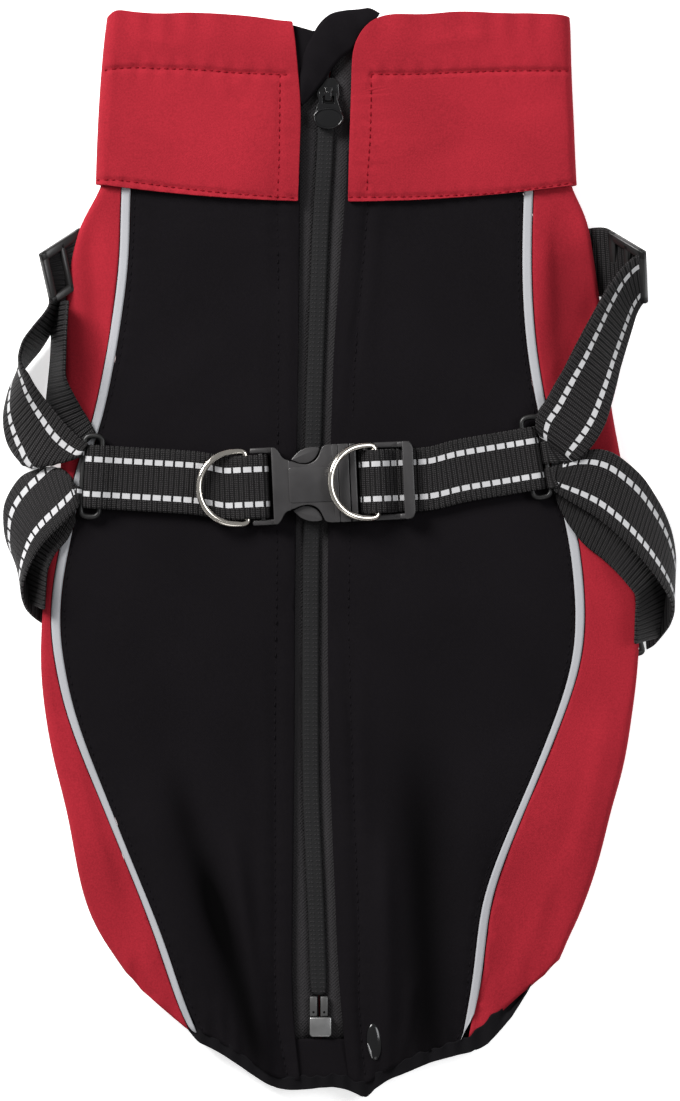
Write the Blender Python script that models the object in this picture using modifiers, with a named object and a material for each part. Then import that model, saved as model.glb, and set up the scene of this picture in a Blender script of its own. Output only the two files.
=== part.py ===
"""A dog coat with a built-in harness, zipped up and laid flat on its belly.

The sizes are in millimetres and become metres where a mesh is made. X runs
across the coat, Y runs from the hem up to the collar and Z is up. The origin
is on the flat underside of the belly, between the leg holes. Cloth is a wall through rows of points:
the tables give the seams, and the functions work out the rows between them.
"""
import math

import bmesh
import bpy
from mathutils import Matrix, Vector

MM = 0.001
ORIGIN_Y = 40.0          # the tables measure y from the buckle's line; the origin is here

# Cloth, webbing and hardware
CLOTH = 1.8              # softshell wall
COLLAR_CLOTH = 2.2       # two plies of softshell
SEAM = 0.3               # air between pieces that are sewn together
PIPING_WIDTH = 3.5
TAPE = 1.0               # zip tape
TAPE_REACH = 13.5        # zip tape, from the centre line
CHAIN_WIDTH = 6.4        # a No. 5 zip
CHAIN_HEIGHT = 1.6
WEBBING_WIDTH = 25.0
WEBBING = 1.6
WIRE = 2.5               # D-ring wire
BAR_WIDTH = 2.4          # plastic ring and slider bars

# Heights of the middle of each wall
BELLY_Z = CLOTH / 2
BACK_Z = 6.5
NECK_BACK_Z = 7.1        # the back panels, inside the collar
NECK_LIFT = 2.5          # the belly, lifted by the collar under it
STRAP_LIFT = WEBBING + SEAM
SLIDER_LIFT = 2.7        # the belly over the lower sliders
BACK_TOP = BACK_Z + CLOTH / 2

# The coat's length. The side folds end in the hem's two corners.
NECK_Y = 156.5
HEM_LEFT = (-83.7, -163.0)
HEM_RIGHT = (86.0, -157.0)
HEM_GAP = 0.2            # share of the hem's width left as air
STATIONS = 29
NECK_STATION = 0.047     # where the body narrows to go into the collar

# Where each seam lies across the coat, at a height y
BODY_COLUMNS = ("y", "left_edge", "left_piping", "left_placket",
                "right_placket", "right_piping", "right_edge")
BODY = (
    (160.0, -92.0, -83.0, -15.4, 3.0, 73.8, 89.5),
    (145.0, -92.3, -83.1, -15.4, 2.7, 73.8, 89.9),
    (141.6, -92.7, -83.2, -15.4, 2.6, 73.8, 90.3),
    (136.0, -96.6, -83.4, -15.4, 2.0, 73.6, 94.8),
    (127.0, -101.5, -83.7, -15.5, 1.4, 73.3, 97.5),
    (114.0, -105.5, -84.0, -15.6, 0.3, 73.1, 99.3),
    (96.5, -107.4, -86.0, -15.8, -1.0, 73.5, 102.0),
    (74.0, -107.8, -89.6, -16.0, -2.4, 75.7, 104.0),
    (49.0, -108.6, -95.0, -16.4, -3.2, 80.5, 107.5),
    (31.5, -109.0, -101.2, -16.7, -3.8, 85.0, 111.0),
    (6.5, -112.8, -106.2, -17.0, -4.4, 90.9, 114.3),
    (-11.5, -115.0, -109.8, -17.2, -4.6, 93.3, 116.0),
    (-29.0, -116.4, -111.0, -17.4, -4.6, 94.0, 117.2),
    (-45.0, -116.9, -109.0, -17.4, -4.5, 92.2, 116.6),
    (-63.0, -115.2, -105.0, -17.5, -4.3, 86.5, 114.5),
    (-84.0, -111.3, -97.3, -17.6, -3.8, 78.2, 111.2),
    (-99.0, -107.1, -91.2, -17.8, -3.2, 71.8, 106.7),
    (-120.0, -103.2, -82.8, -18.0, -2.4, 63.0, 101.6),
    (-138.0, -99.2, -75.2, -18.2, -1.5, 57.0, 95.4),
    (-156.5, -89.5, -68.4, -18.5, -0.9, 54.9, 86.5),
    (-166.0, -81.0, -65.2, -18.5, -0.3, 53.8, 77.5),
    (-176.0, -71.5, -62.0, -18.3, 0.6, 52.3, 67.0),
    (-187.5, -62.0, -56.9, -17.6, 1.5, 50.0, 60.0),
    (-212.0, -52.0, -50.0, -14.5, 4.5, 46.0, 50.0),
)

# The hem: where the panels end and where the binding ends
HEM_COLUMNS = ("x", "panel_y", "binding_y")
HEM = (
    (-83.7, -163.0, -163.0), (-77.0, -166.3, -170.5), (-70.4, -171.8, -177.0),
    (-58.9, -184.2, -189.2), (-46.7, -191.6, -195.8), (-35.1, -199.1, -203.6),
    (-25.8, -205.0, -209.2), (-17.9, -206.5, -210.3), (0.1, -205.6, -209.4),
    (9.5, -208.4, -212.6), (13.8, -206.2, -210.5), (17.4, -202.9, -207.0),
    (25.3, -200.0, -204.0), (34.6, -195.8, -199.9), (52.6, -189.6, -194.3),
    (59.1, -183.0, -188.4), (67.7, -172.2, -177.6), (73.5, -166.0, -171.0),
    (80.0, -160.6, -164.2), (86.0, -157.0, -157.0),
)

# The zip's centre line
ZIP_COLUMNS = ("y", "x")
ZIP = (
    (212.0, -1.0), (190.0, -3.5), (179.0, -4.3), (164.0, -5.3), (147.0, -6.0),
    (137.0, -6.8), (114.0, -7.8), (74.0, -9.3), (31.5, -10.5), (-11.5, -11.1),
    (-92.0, -11.1), (-138.0, -9.2), (-175.0, -8.0), (-184.0, -7.6), (-212.0, -6.5),
)
TAPE_TOP_Y = 203.0
TAPE_END_Y = -191.5
CHAIN_TOP_Y = 172.5
CHAIN_END_Y = -173.5
PIN_END_Y = -181.5
BOX_END_Y = -189.5

# Soft folds of the back: a line from one end to the other, its height and half width
FOLD_COLUMNS = ("x1", "y1", "x2", "y2", "height", "half_width")
FOLDS = (
    (-58.0, -104.0, -31.0, -186.0, -1.3, 7.0),
    (-46.0, -96.0, -22.0, -178.0, 0.7, 8.0),
    (22.0, -86.0, 34.0, -143.0, -1.0, 7.0),
    (36.0, -92.0, 46.0, -170.0, 0.6, 7.0),
    (2.0, -160.0, 8.5, -206.0, 1.5, 3.2),
    (-98.0, 132.0, -90.0, 74.0, -0.7, 6.0),
    (88.0, 128.0, 94.0, 66.0, -0.8, 6.0),
    (104.0, -62.0, 86.0, -140.0, 0.6, 6.0),
    (-104.0, -70.0, -84.0, -146.0, 0.6, 6.0),
)
# Gathers under the hem's elastic, as rows of ridges
GATHERS = 26
GATHER_HEIGHT = 0.55
GATHER_REACH = 26.0

# The collar's edges, for its left and right half
COLLAR_HEIGHT = 10.5     # outside, lying flat
COLLAR_STATIONS = 11
COLLAR_COLUMNS = ("y", "outer", "opening")
COLLAR_LEFT = (
    (136.0, -95.6, -16.2), (155.6, -95.0, -15.5), (172.8, -94.2, -15.1),
    (189.5, -93.0, -16.4), (204.0, -91.4, -17.8), (211.0, -90.0, -19.8),
)
COLLAR_RIGHT = (
    (136.0, 93.2, 3.3), (155.6, 92.2, 3.7), (165.8, 91.8, 4.1),
    (182.0, 91.0, 4.6), (197.0, 90.5, 5.4), (204.0, 90.4, 9.0), (211.0, 89.4, 15.0),
)
COLLAR_LOW_Y = 143.0
COLLAR_SAG = -6.8
COLLAR_TOP_COLUMNS = ("x", "y")
COLLAR_TOP = (
    (-96.0, 205.5), (-91.0, 207.0), (-86.8, 211.0), (-82.5, 210.2), (-66.0, 209.4),
    (-60.0, 210.0), (-36.0, 208.6), (-20.0, 206.5), (10.0, 205.5), (15.8, 209.0),
    (34.0, 209.2), (46.0, 210.4), (64.0, 209.6), (76.0, 209.6), (88.0, 208.6),
    (94.0, 205.0),
)
COLLAR_SEAM_X = 66.0     # the collar meets the throat panel on the underside

# The belly
BELLY_INSET = 19.0       # from the side fold to the belly's seam
BELLY_SHORT = 1.8        # its hem is a little shorter than the back's
LEG_HOLE_X = 44.0
LEG_HOLE_Y = 60.0
LEG_HOLE_RADIUS = 32.0
CHEST_Y = 113.5
GIRTH_LEFT_Y = -17.0
GIRTH_RIGHT_Y = -29.0
STRAP_END_LEFT = -98.6
STRAP_END_RIGHT = 98.4

# The buckle's frame and the straps' ends
BUCKLE = (-3.3, 26.3, 2.6)           # x, y and its turn in degrees
STRAP_UNDER_Z = BACK_TOP + SEAM + WEBBING / 2
STRAP_TOP_Z = STRAP_UNDER_Z + WEBBING + SEAM
WRAP = BAR_WIDTH / 2 + SEAM + WEBBING / 2
RING_Z = STRAP_UNDER_Z + WRAP
LEFT_RING = (-95.4, 28.9, -3.3)      # the bar that the strap holds
RIGHT_RING = (75.6, 36.0, 9.4)
RING_GAP = 7.4                       # between the middles of a ring's two bars
RING_LENGTH = 31.6

# D-rings: the bar's place along the buckle, its height, and the ring's tilt
D_HALF_WIDTH = 14.1
D_DEPTH = 18.8
D_LEFT = (-32.9, RING_Z + 0.05, 10.5)
D_RIGHT = (17.6, 12.95, 20.0)

PULL_Y = 178.0
PULL_Z = 10.4
PULL_LENGTH = 13.2

BLACK = ("black_softshell", (0.012, 0.011, 0.013), 0.85, 0.0)
RED = ("red_softshell", (0.36, 0.022, 0.032), 0.8, 0.0)
GREY = ("reflective_piping", (0.42, 0.43, 0.45), 0.5, 0.0)
WEB = ("black_webbing", (0.012, 0.012, 0.012), 0.8, 0.0)
TAPE_CLOTH = ("zip_tape", (0.025, 0.025, 0.026), 0.85, 0.0)
PLASTIC = ("black_plastic", (0.025, 0.024, 0.024), 0.45, 0.0)
METAL = ("nickel_wire", (0.62, 0.6, 0.57), 0.25, 1.0)
DARK_METAL = ("dark_metal", (0.05, 0.05, 0.055), 0.35, 1.0)


# ---------------------------------------------------------------- making
def clear_scene():
    for obj in list(bpy.data.objects):
        bpy.data.objects.remove(obj, do_unlink=True)


def collection(name):
    made = bpy.data.collections.new(name)
    bpy.context.scene.collection.children.link(made)
    return made


def material(look):
    name, colour, roughness, metallic = look
    found = bpy.data.materials.get(name)
    if found:
        return found
    made = bpy.data.materials.new(name)
    made.use_nodes = True
    shader = made.node_tree.nodes["Principled BSDF"]
    shader.inputs["Base Color"].default_value = (*colour, 1.0)
    shader.inputs["Roughness"].default_value = roughness
    shader.inputs["Metallic"].default_value = metallic
    return made


def add(name, data, look):
    obj = bpy.data.objects.new(name, data)
    data.materials.append(material(look))
    bpy.data.collections["dog_coat"].objects.link(obj)
    return obj


def sheet(name, rows, thickness, look):
    """A cloth wall round the surface through rows of points."""
    shape = bmesh.new()
    grid = [[shape.verts.new(point * MM) for point in row] for row in rows]
    for above, below in zip(grid, grid[1:]):
        for i in range(len(above) - 1):
            shape.faces.new((above[i], below[i], below[i + 1], above[i + 1]))
    mesh = bpy.data.meshes.new(name)
    shape.to_mesh(mesh)
    shape.free()
    mesh.shade_smooth()
    obj = add(name, mesh, look)
    wall = obj.modifiers.new("wall", "SOLIDIFY")
    wall.thickness = thickness * MM
    wall.offset = 0.0
    wall.use_even_offset = True
    return obj


def ribbon(name, rows, parts=1):
    """A strip of webbing between its two edges, in one or more parts across."""
    return sheet(name, [[Vector(a).lerp(Vector(b), n / parts) for n in range(parts + 1)]
                        for a, b in rows], WEBBING, WEB)


def tube(name, points, radius, look, cyclic=True):
    data = bpy.data.curves.new(name, "CURVE")
    data.dimensions = "3D"
    data.bevel_depth = radius * MM
    data.bevel_resolution = 2
    data.use_fill_caps = True
    line = data.splines.new("POLY")
    line.points.add(len(points) - 1)
    for spot, point in zip(line.points, points):
        spot.co = (*(Vector(point) * MM), 1.0)
    line.use_cyclic_u = cyclic
    return add(name, data, look)


def plate(name, loops, low, high, look):
    """A flat outline with its holes, between two heights."""
    data = bpy.data.curves.new(name, "CURVE")
    data.dimensions = "2D"
    data.fill_mode = "BOTH"
    data.extrude = (high - low) / 2 * MM
    for loop in loops:
        line = data.splines.new("POLY")
        line.points.add(len(loop) - 1)
        for spot, (x, y) in zip(line.points, loop):
            spot.co = (x * MM, y * MM, 0.0, 1.0)
        line.use_cyclic_u = True
    obj = add(name, data, look)
    obj.location.z = (low + high) / 2 * MM
    return obj


def as_mesh(obj, look):
    """A curve made a mesh, so that it can be joined or cut."""
    bpy.context.view_layer.update()
    ready = obj.evaluated_get(bpy.context.evaluated_depsgraph_get())
    mesh = bpy.data.meshes.new_from_object(ready)
    weld = bmesh.new()
    weld.from_mesh(mesh)
    bmesh.ops.remove_doubles(weld, verts=weld.verts, dist=0.00001)
    bmesh.ops.recalc_face_normals(weld, faces=weld.faces)
    weld.to_mesh(mesh)
    weld.free()
    name = obj.name
    matrix = obj.matrix_world.copy()
    bpy.data.objects.remove(obj, do_unlink=True)
    mesh.materials.clear()
    made = add(name, mesh, look)
    made.matrix_world = matrix
    return made


def block(name, low, high):
    """A helper box for joining or cutting, in millimetres."""
    shape = bmesh.new()
    bmesh.ops.create_cube(shape, size=1.0)
    size = Vector(high) - Vector(low)
    middle = (Vector(high) + Vector(low)) / 2
    for vert in shape.verts:
        vert.co = Vector((vert.co.x * size.x, vert.co.y * size.y, vert.co.z * size.z)) * MM
    mesh = bpy.data.meshes.new(name)
    shape.to_mesh(mesh)
    shape.free()
    return helper(name, mesh, middle)


def helper(name, mesh, middle):
    obj = bpy.data.objects.new(name, mesh)
    obj.location = middle * MM
    obj.hide_render = True
    obj.display_type = "WIRE"
    bpy.data.collections["cutters"].objects.link(obj)
    return obj


def cylinder(name, middle, radius, height, sides=40):
    shape = bmesh.new()
    bmesh.ops.create_cone(shape, cap_ends=True, segments=sides, radius1=radius * MM,
                          radius2=radius * MM, depth=height * MM)
    mesh = bpy.data.meshes.new(name)
    shape.to_mesh(mesh)
    shape.free()
    return helper(name, mesh, Vector(middle))


def change(obj, other, operation):
    step = obj.modifiers.new(operation.lower(), "BOOLEAN")
    step.operation = operation
    step.object = other


def place(obj, frame):
    """Turn an object about Z and move it to a frame's x and y."""
    x, y, turn = frame
    obj.rotation_euler.z = math.radians(turn)
    obj.location.x = x * MM
    obj.location.y = y * MM


# ---------------------------------------------------------------- reading tables
def read(table, columns, name, value):
    """A column's value, on a smooth line through the table's rows."""
    key = [row[0] for row in table]
    if key[0] > key[-1]:
        table = table[::-1]
        key = key[::-1]
    column = [row[columns.index(name)] for row in table]
    if value <= key[0]:
        return column[0]
    if value >= key[-1]:
        return column[-1]
    i = max(n for n in range(len(key) - 1) if key[n] <= value)

    def slope(n):
        low = max(n - 1, 0)
        high = min(n + 1, len(key) - 1)
        return (column[high] - column[low]) / (key[high] - key[low])

    span = key[i + 1] - key[i]
    t = (value - key[i]) / span
    return ((2 * t**3 - 3 * t**2 + 1) * column[i] + (t**3 - 2 * t**2 + t) * span * slope(i)
            + (3 * t**2 - 2 * t**3) * column[i + 1] + (t**3 - t**2) * span * slope(i + 1))


def smooth_step(low, high, value):
    t = min(max((value - low) / (high - low), 0.0), 1.0)
    return t * t * (3 - 2 * t)


def smooth_rows(rows, steps):
    """Rows of numbers on a smooth line through a few rows."""
    filled = []
    for n in range(len(rows) - 1):
        before = rows[max(n - 1, 0)]
        after = rows[min(n + 2, len(rows) - 1)]
        for k in range(steps):
            t = k / steps
            filled.append([
                0.5 * (2 * b + (c - a) * t + (2 * a - 5 * b + 4 * c - d) * t**2
                       + (3 * b - a - 3 * c + d) * t**3)
                for a, b, c, d in zip(before, rows[n], rows[n + 1], after)])
    filled.append(list(rows[-1]))
    return filled


# ---------------------------------------------------------------- the body's form
def side_y(v, across):
    """The height of station v at the left fold (-1), the right fold (1) or between them."""
    end = HEM_LEFT[1] + (HEM_RIGHT[1] - HEM_LEFT[1]) * (across + 1) / 2
    return NECK_Y + (end - NECK_Y) * v


def section_y(v, x):
    """The height y of a point on station v, which sags between the side folds."""
    left_x = edge_x(v, -1)
    right_x = edge_x(v, 1)
    across = min(max(2 * (x - left_x) / (right_x - left_x) - 1, -1.0), 1.0)
    hem_x = HEM_LEFT[0] + (HEM_RIGHT[0] - HEM_LEFT[0]) * (across + 1) / 2
    drop = side_y(1.0, across) - read(HEM, HEM_COLUMNS, "panel_y", hem_x)
    return side_y(v, across) - drop * v**2


def seam_x(v, name):
    """Where a seam crosses station v."""
    x = 0.0
    for _ in range(12):
        x = read(BODY, BODY_COLUMNS, name, section_y(v, x))
    return x


def edge_x(v, side):
    return read(BODY, BODY_COLUMNS, "left_edge" if side < 0 else "right_edge", side_y(v, side))


def near_strap(distance):
    return 1 - smooth_step(WEBBING_WIDTH / 2 + 11.5, WEBBING_WIDTH / 2 + 19.0, abs(distance))


def girth_y(x):
    t = (x - STRAP_END_LEFT) / (STRAP_END_RIGHT - STRAP_END_LEFT)
    return GIRTH_LEFT_Y + (GIRTH_RIGHT_Y - GIRTH_LEFT_Y) * t


def belly_z(x, y):
    """The belly's middle height: on the floor, but lifted by what lies under it."""
    girth = near_strap(y - girth_y(x)) * STRAP_LIFT
    slider_side = smooth_step(84.0, 94.0, abs(x))
    girth += slider_side * near_strap((y - girth_y(x)) * 0.82) * (SLIDER_LIFT - STRAP_LIFT)
    chest = near_strap(y - CHEST_Y) * STRAP_LIFT
    neck = smooth_step(110.0, 122.0, y) * NECK_LIFT
    return BELLY_Z + max(girth, chest, neck)


def back_z(x, y, hem_distance=None):
    """The back's middle height, with its soft folds and the gathers at the hem."""
    z = BACK_Z + (NECK_BACK_Z - BACK_Z) * smooth_step(124.0, 139.0, y)
    for x1, y1, x2, y2, height, half_width in FOLDS:
        along = Vector((x2 - x1, y2 - y1))
        spot = Vector((x - x1, y - y1))
        t = spot.dot(along) / along.length_squared
        off = abs(spot.cross(along)) / along.length
        ends = smooth_step(-0.1, 0.25, t) * (1 - smooth_step(0.75, 1.1, t))
        z += height * ends * math.exp(-((off / half_width) ** 2))
    if hem_distance is not None:
        fade = max(0.0, 1 - hem_distance / GATHER_REACH) ** 1.5
        wave = math.cos(GATHERS * math.pi * x / 130.0 + 1.7 * math.sin(x / 11.0))
        z += GATHER_HEIGHT * fade * wave
    return z


def station_list():
    return [0.0, NECK_STATION / 2, *spaced(NECK_STATION, 1.0, STATIONS - 2)]


def back_point(v, x):
    y = section_y(v, x)
    return Vector((x, y, back_z(x, y, y - section_y(1.0, x))))


def back_rows(left, right, columns):
    """Rows of points across the back, between two seams given as functions of the station."""
    rows = []
    for v in station_list():
        a = left(v)
        b = right(v)
        rows.append([back_point(v, a + (b - a) * n / (columns - 1))
                     for n in range(columns)])
    return rows


def side_rows(side):
    """A side panel: from the piping, round the fold, to the belly's seam."""
    name = "left_piping" if side < 0 else "right_piping"
    rows = []
    for v in station_list():
        start = seam_x(v, name) + side * (PIPING_WIDTH / 2 + SEAM)
        edge = edge_x(v, side) - side * CLOTH / 2
        start = side * min(side * start, side * edge - 0.9)
        fold_y = section_y(v, edge)
        high = back_point(v, start).z
        low = belly_z(edge, fold_y)
        half = (high - low) / 2
        reach = min(half, side * (edge - start) - 0.2)
        centre = edge - side * reach
        row = []
        for n in range(4):
            x = start + (centre - start) * n / 4
            row.append(back_point(v, x))
        for n in range(7):
            angle = math.radians(90 - 30 * n)
            x = centre + side * reach * math.cos(angle)
            y = section_y(v, x)
            row.append(Vector((x, y, (high + low) / 2 + half * math.sin(angle))))
        for n in range(1, 4):
            x = centre - side * (BELLY_INSET - reach) * n / 3
            y = section_y(v, x)
            row.append(Vector((x, y, belly_z(x, y))))
        rows.append(row)
    return rows


def belly_rows():
    rows = []
    for v in station_list():
        left = edge_x(v, -1) + BELLY_INSET + CLOTH / 2 + SEAM
        right = edge_x(v, 1) - BELLY_INSET - CLOTH / 2 - SEAM
        row = []
        for n in range(10):
            x = left + (right - left) * n / 9
            y = section_y(v, x) + BELLY_SHORT * v**3
            row.append(Vector((x, y, belly_z(x, y))))
        rows.append(row)
    return rows


def make_body():
    half = PIPING_WIDTH / 2
    gap = half + SEAM
    sheet("back_left_panel",
          back_rows(lambda v: seam_x(v, "left_piping") + gap,
                    lambda v: seam_x(v, "left_placket"), 12), CLOTH, BLACK)
    sheet("back_right_panel",
          back_rows(lambda v: seam_x(v, "right_placket"),
                    lambda v: seam_x(v, "right_piping") - gap, 12), CLOTH, BLACK)
    for side, word in ((-1, "left"), (1, "right")):
        sheet(f"side_{word}_panel", side_rows(side), CLOTH, RED)
        name = f"{word}_piping"
        sheet(f"piping_{word}",
              back_rows(lambda v: seam_x(v, name) - half,
                        lambda v: seam_x(v, name) + half, 2), CLOTH, GREY)
    belly = sheet("belly_panel", belly_rows(), CLOTH, RED)
    for side, word in ((-1, "left"), (1, "right")):
        hole = cylinder(f"leg_hole_{word}", (side * LEG_HOLE_X, LEG_HOLE_Y, BELLY_Z),
                        LEG_HOLE_RADIUS, 12.0)
        change(belly, hole, "DIFFERENCE")


def make_hem():
    """The black elastic binding along the hem, above and below."""
    upper = []
    under = []
    for part in (0.0, 0.5, 1.0):
        row = []
        for x in spaced(HEM_LEFT[0] + 3.4, HEM_RIGHT[0] - 3.4, 45):
            start = read(HEM, HEM_COLUMNS, "panel_y", x)
            end = read(HEM, HEM_COLUMNS, "binding_y", x)
            row.append(Vector((x, start + (end - start) * (HEM_GAP + (1 - HEM_GAP) * part), 0.0)))
        upper.append([Vector((p.x, p.y, back_z(p.x, p.y, 0.0) + 0.1)) for p in row])
        under.append([Vector((p.x, p.y, BELLY_Z + 0.2)) for p in row])
    sheet("hem_binding_upper", upper, CLOTH + 0.2, BLACK)
    sheet("hem_binding_under", under, CLOTH + 0.2, BLACK)


# ---------------------------------------------------------------- the collar
def collar_y(x, w):
    low = COLLAR_LOW_Y + COLLAR_SAG * (1 - min(1.0, (x / 94.0) ** 2))
    high = read(COLLAR_TOP, COLLAR_TOP_COLUMNS, "y", x)
    return low + (high - low) * w


def collar_wave(x, w):
    """The collar's top edge is drawn in a little by its channel."""
    return 0.35 * math.sin(x / 4.1 + 1.3 * math.sin(x / 17.0)) * smooth_step(0.72, 1.0, w)


def collar_rows(side):
    table = COLLAR_LEFT if side < 0 else COLLAR_RIGHT
    high = COLLAR_HEIGHT - COLLAR_CLOTH / 2
    low = COLLAR_CLOTH / 2
    radius = (high - low) / 2
    rows = []
    for k in range(COLLAR_STATIONS):
        w = k / (COLLAR_STATIONS - 1)
        outer_y = collar_y(side * 92.0, w)
        edge = read(table, COLLAR_COLUMNS, "outer", outer_y) - side * COLLAR_CLOTH / 2
        opening = 0.0
        for _ in range(10):
            opening = read(table, COLLAR_COLUMNS, "opening", collar_y(opening, w))
        centre = edge - side * radius
        row = []
        for n in range(11):
            x = opening + (centre - opening) * n / 11
            row.append(Vector((x, collar_y(x, w), high + collar_wave(x, w))))
        for n in range(7):
            angle = math.radians(90 - 30 * n)
            x = centre + side * radius * math.cos(angle)
            row.append(Vector((x, collar_y(x, w), (high + low) / 2 + radius * math.sin(angle))))
        for n in range(1, 4):
            x = centre + (side * COLLAR_SEAM_X - centre) * n / 3
            row.append(Vector((x, collar_y(x, w), low)))
        rows.append(row)
    return rows


def make_collar():
    sheet("collar_left", collar_rows(-1), COLLAR_CLOTH, RED)
    sheet("collar_right", collar_rows(1), COLLAR_CLOTH, RED)
    rows = []
    half = COLLAR_SEAM_X - SEAM
    for k in range(COLLAR_STATIONS):
        w = k / (COLLAR_STATIONS - 1)
        row = []
        for n in range(11):
            x = -half + 2 * half * n / 10
            row.append(Vector((x, collar_y(x, w), COLLAR_CLOTH / 2)))
        rows.append(row)
    sheet("collar_throat", rows, COLLAR_CLOTH, RED)


# ---------------------------------------------------------------- the zip
def zip_x(y):
    return read(ZIP, ZIP_COLUMNS, "x", y)


def tape_z(y):
    """The tape lies under the back panels and rises to the collar's opening."""
    low = BACK_Z - CLOTH / 2 - SEAM - TAPE / 2
    neck = (NECK_BACK_Z - BACK_Z) * smooth_step(124.0, 139.0, y)
    return low + neck + 1.1 * smooth_step(160.0, 172.0, y)


def spaced(start, end, count):
    return [start + (end - start) * n / (count - 1) for n in range(count)]


def make_zip():
    chain_heights = spaced(CHAIN_TOP_Y, CHAIN_END_Y, 28)
    heights = [TAPE_TOP_Y, 188.0, *chain_heights, TAPE_END_Y]
    for side, word in ((-1, "left"), (1, "right")):
        rows = []
        for y in heights:
            inner = zip_x(y) + side * SEAM
            outer = zip_x(y) + side * TAPE_REACH
            rows.append([Vector((inner, y, tape_z(y))), Vector((outer, y, tape_z(y)))])
        sheet(f"zip_tape_{word}", rows, TAPE, TAPE_CLOTH)
        pin_x = zip_x(CHAIN_END_Y) + side * 2.1
        loop = ((pin_x - 1.45, PIN_END_Y), (pin_x + 1.45, PIN_END_Y),
                (pin_x + 1.45, CHAIN_END_Y - SEAM), (pin_x - 1.45, CHAIN_END_Y - SEAM))
        base = tape_z(PIN_END_Y) + TAPE / 2 + SEAM
        plate(f"zip_pin_{word}", [loop], base, base + 2.0, DARK_METAL)
    rows = []
    for y in chain_heights:
        z = tape_z(y) + TAPE / 2 + SEAM + CHAIN_HEIGHT / 2
        half = CHAIN_WIDTH / 2
        rows.append([Vector((zip_x(y) - half, y, z)), Vector((zip_x(y) + half, y, z))])
    sheet("zip_chain", rows, CHAIN_HEIGHT, DARK_METAL)
    make_zip_box()
    make_slider()


def make_zip_box():
    x = zip_x(BOX_END_Y)
    base = tape_z(BOX_END_Y) + TAPE / 2 + SEAM
    half = 4.3
    top = PIN_END_Y - SEAM
    loop = ((x - half + 0.8, BOX_END_Y), (x + half - 0.8, BOX_END_Y), (x + half, BOX_END_Y + 0.8),
            (x + half, top), (x - half, top), (x - half, BOX_END_Y + 0.8))
    plate("zip_box", [loop], base, base + 3.0, DARK_METAL)
    rows = []
    for y in (TAPE_END_Y - SEAM, -198.0, -204.9):
        left = read(BODY, BODY_COLUMNS, "left_placket", y) + SEAM
        right = read(BODY, BODY_COLUMNS, "right_placket", y) - SEAM
        rows.append([Vector((left + (right - left) * n / 4, y, BACK_Z - 0.2))
                     for n in range(5)])
    sheet("zip_foot", rows, CLOTH, BLACK)


def make_slider():
    """The slider's body, with a crown over the pull tab's crossbar, and the pull tab."""
    x = zip_x(PULL_Y)
    base = tape_z(PULL_Y) + TAPE / 2 + SEAM
    outline = ((x - 3.2, CHAIN_TOP_Y + SEAM), (x + 3.2, CHAIN_TOP_Y + SEAM), (x + 4.4, 178.0),
               (x + 4.2, 182.0), (x + 2.4, 184.5), (x - 2.4, 184.5), (x - 4.2, 182.0),
               (x - 4.4, 178.0))
    body = as_mesh(plate("zip_slider", [outline], base, base + 1.6, DARK_METAL), DARK_METAL)
    for n, (low_y, high_y) in enumerate(((PULL_Y - 2.6, PULL_Y - 1.5), (PULL_Y + 1.5, PULL_Y + 2.6))):
        post = block(f"crown_post_{n}", (x - 1.3, low_y, base + 1.0), (x + 1.3, high_y, PULL_Z + 2.1))
        change(body, post, "UNION")
    bridge = block("crown_bridge", (x - 1.3, PULL_Y - 2.6, PULL_Z + 1.3),
                   (x + 1.3, PULL_Y + 2.6, PULL_Z + 2.1))
    change(body, bridge, "UNION")
    neck = 3.6
    outer = [(-neck, 0.8), (-neck, -2.0), (-4.6, -5.2)]
    for n in range(13):
        angle = math.radians(160 + 220 * n / 12)
        outer.append((6.0 * math.cos(angle), -9.4 + 4.2 * math.sin(angle)))
    outer += [(4.6, -5.2), (neck, -2.0), (neck, 0.8)]
    slot = ((-2.2, -0.75), (2.2, -0.75), (2.2, -3.6), (-2.2, -3.6))
    pull = plate("zip_pull", [outer, slot], PULL_Z - 0.75, PULL_Z + 0.75, DARK_METAL)
    pull.location.x = x * MM
    pull.location.y = PULL_Y * MM


# ---------------------------------------------------------------- straps across the back
def frame_point(frame, s, t, z):
    """A point s along and t across a frame that is turned about Z."""
    x, y, turn = frame
    c = math.cos(math.radians(turn))
    d = math.sin(math.radians(turn))
    return Vector((x + s * c - t * d, y + s * d + t * c, z))


def arc(s, z, radius, start, end, count):
    """Points of a strap that wraps a bar, seen from the side."""
    points = []
    for angle in spaced(start, end, count):
        points.append((s + radius * math.cos(math.radians(angle)),
                       z + radius * math.sin(math.radians(angle))))
    return points


def strap(name, profile, ring, turn_start, turn_end):
    """A strap whose side view is the profile. s is the distance along X from the buckle.

    The strap lies in the buckle's frame before turn_start and in the ring's frame beyond
    turn_end, so its edges stay square to the bars that it wraps.
    """
    rows = []
    half = WEBBING_WIDTH / 2
    for s, z in profile:
        t = smooth_step(turn_start, turn_end, abs(s))
        edges = []
        for side in (-1, 1):
            by_ring = frame_point(ring, s - frame_s(ring), side * half, z)
            by_buckle = frame_point(BUCKLE, s, side * half, z)
            edges.append(by_buckle.lerp(by_ring, t))
        rows.append(edges)
    return ribbon(name, rows)


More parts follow.
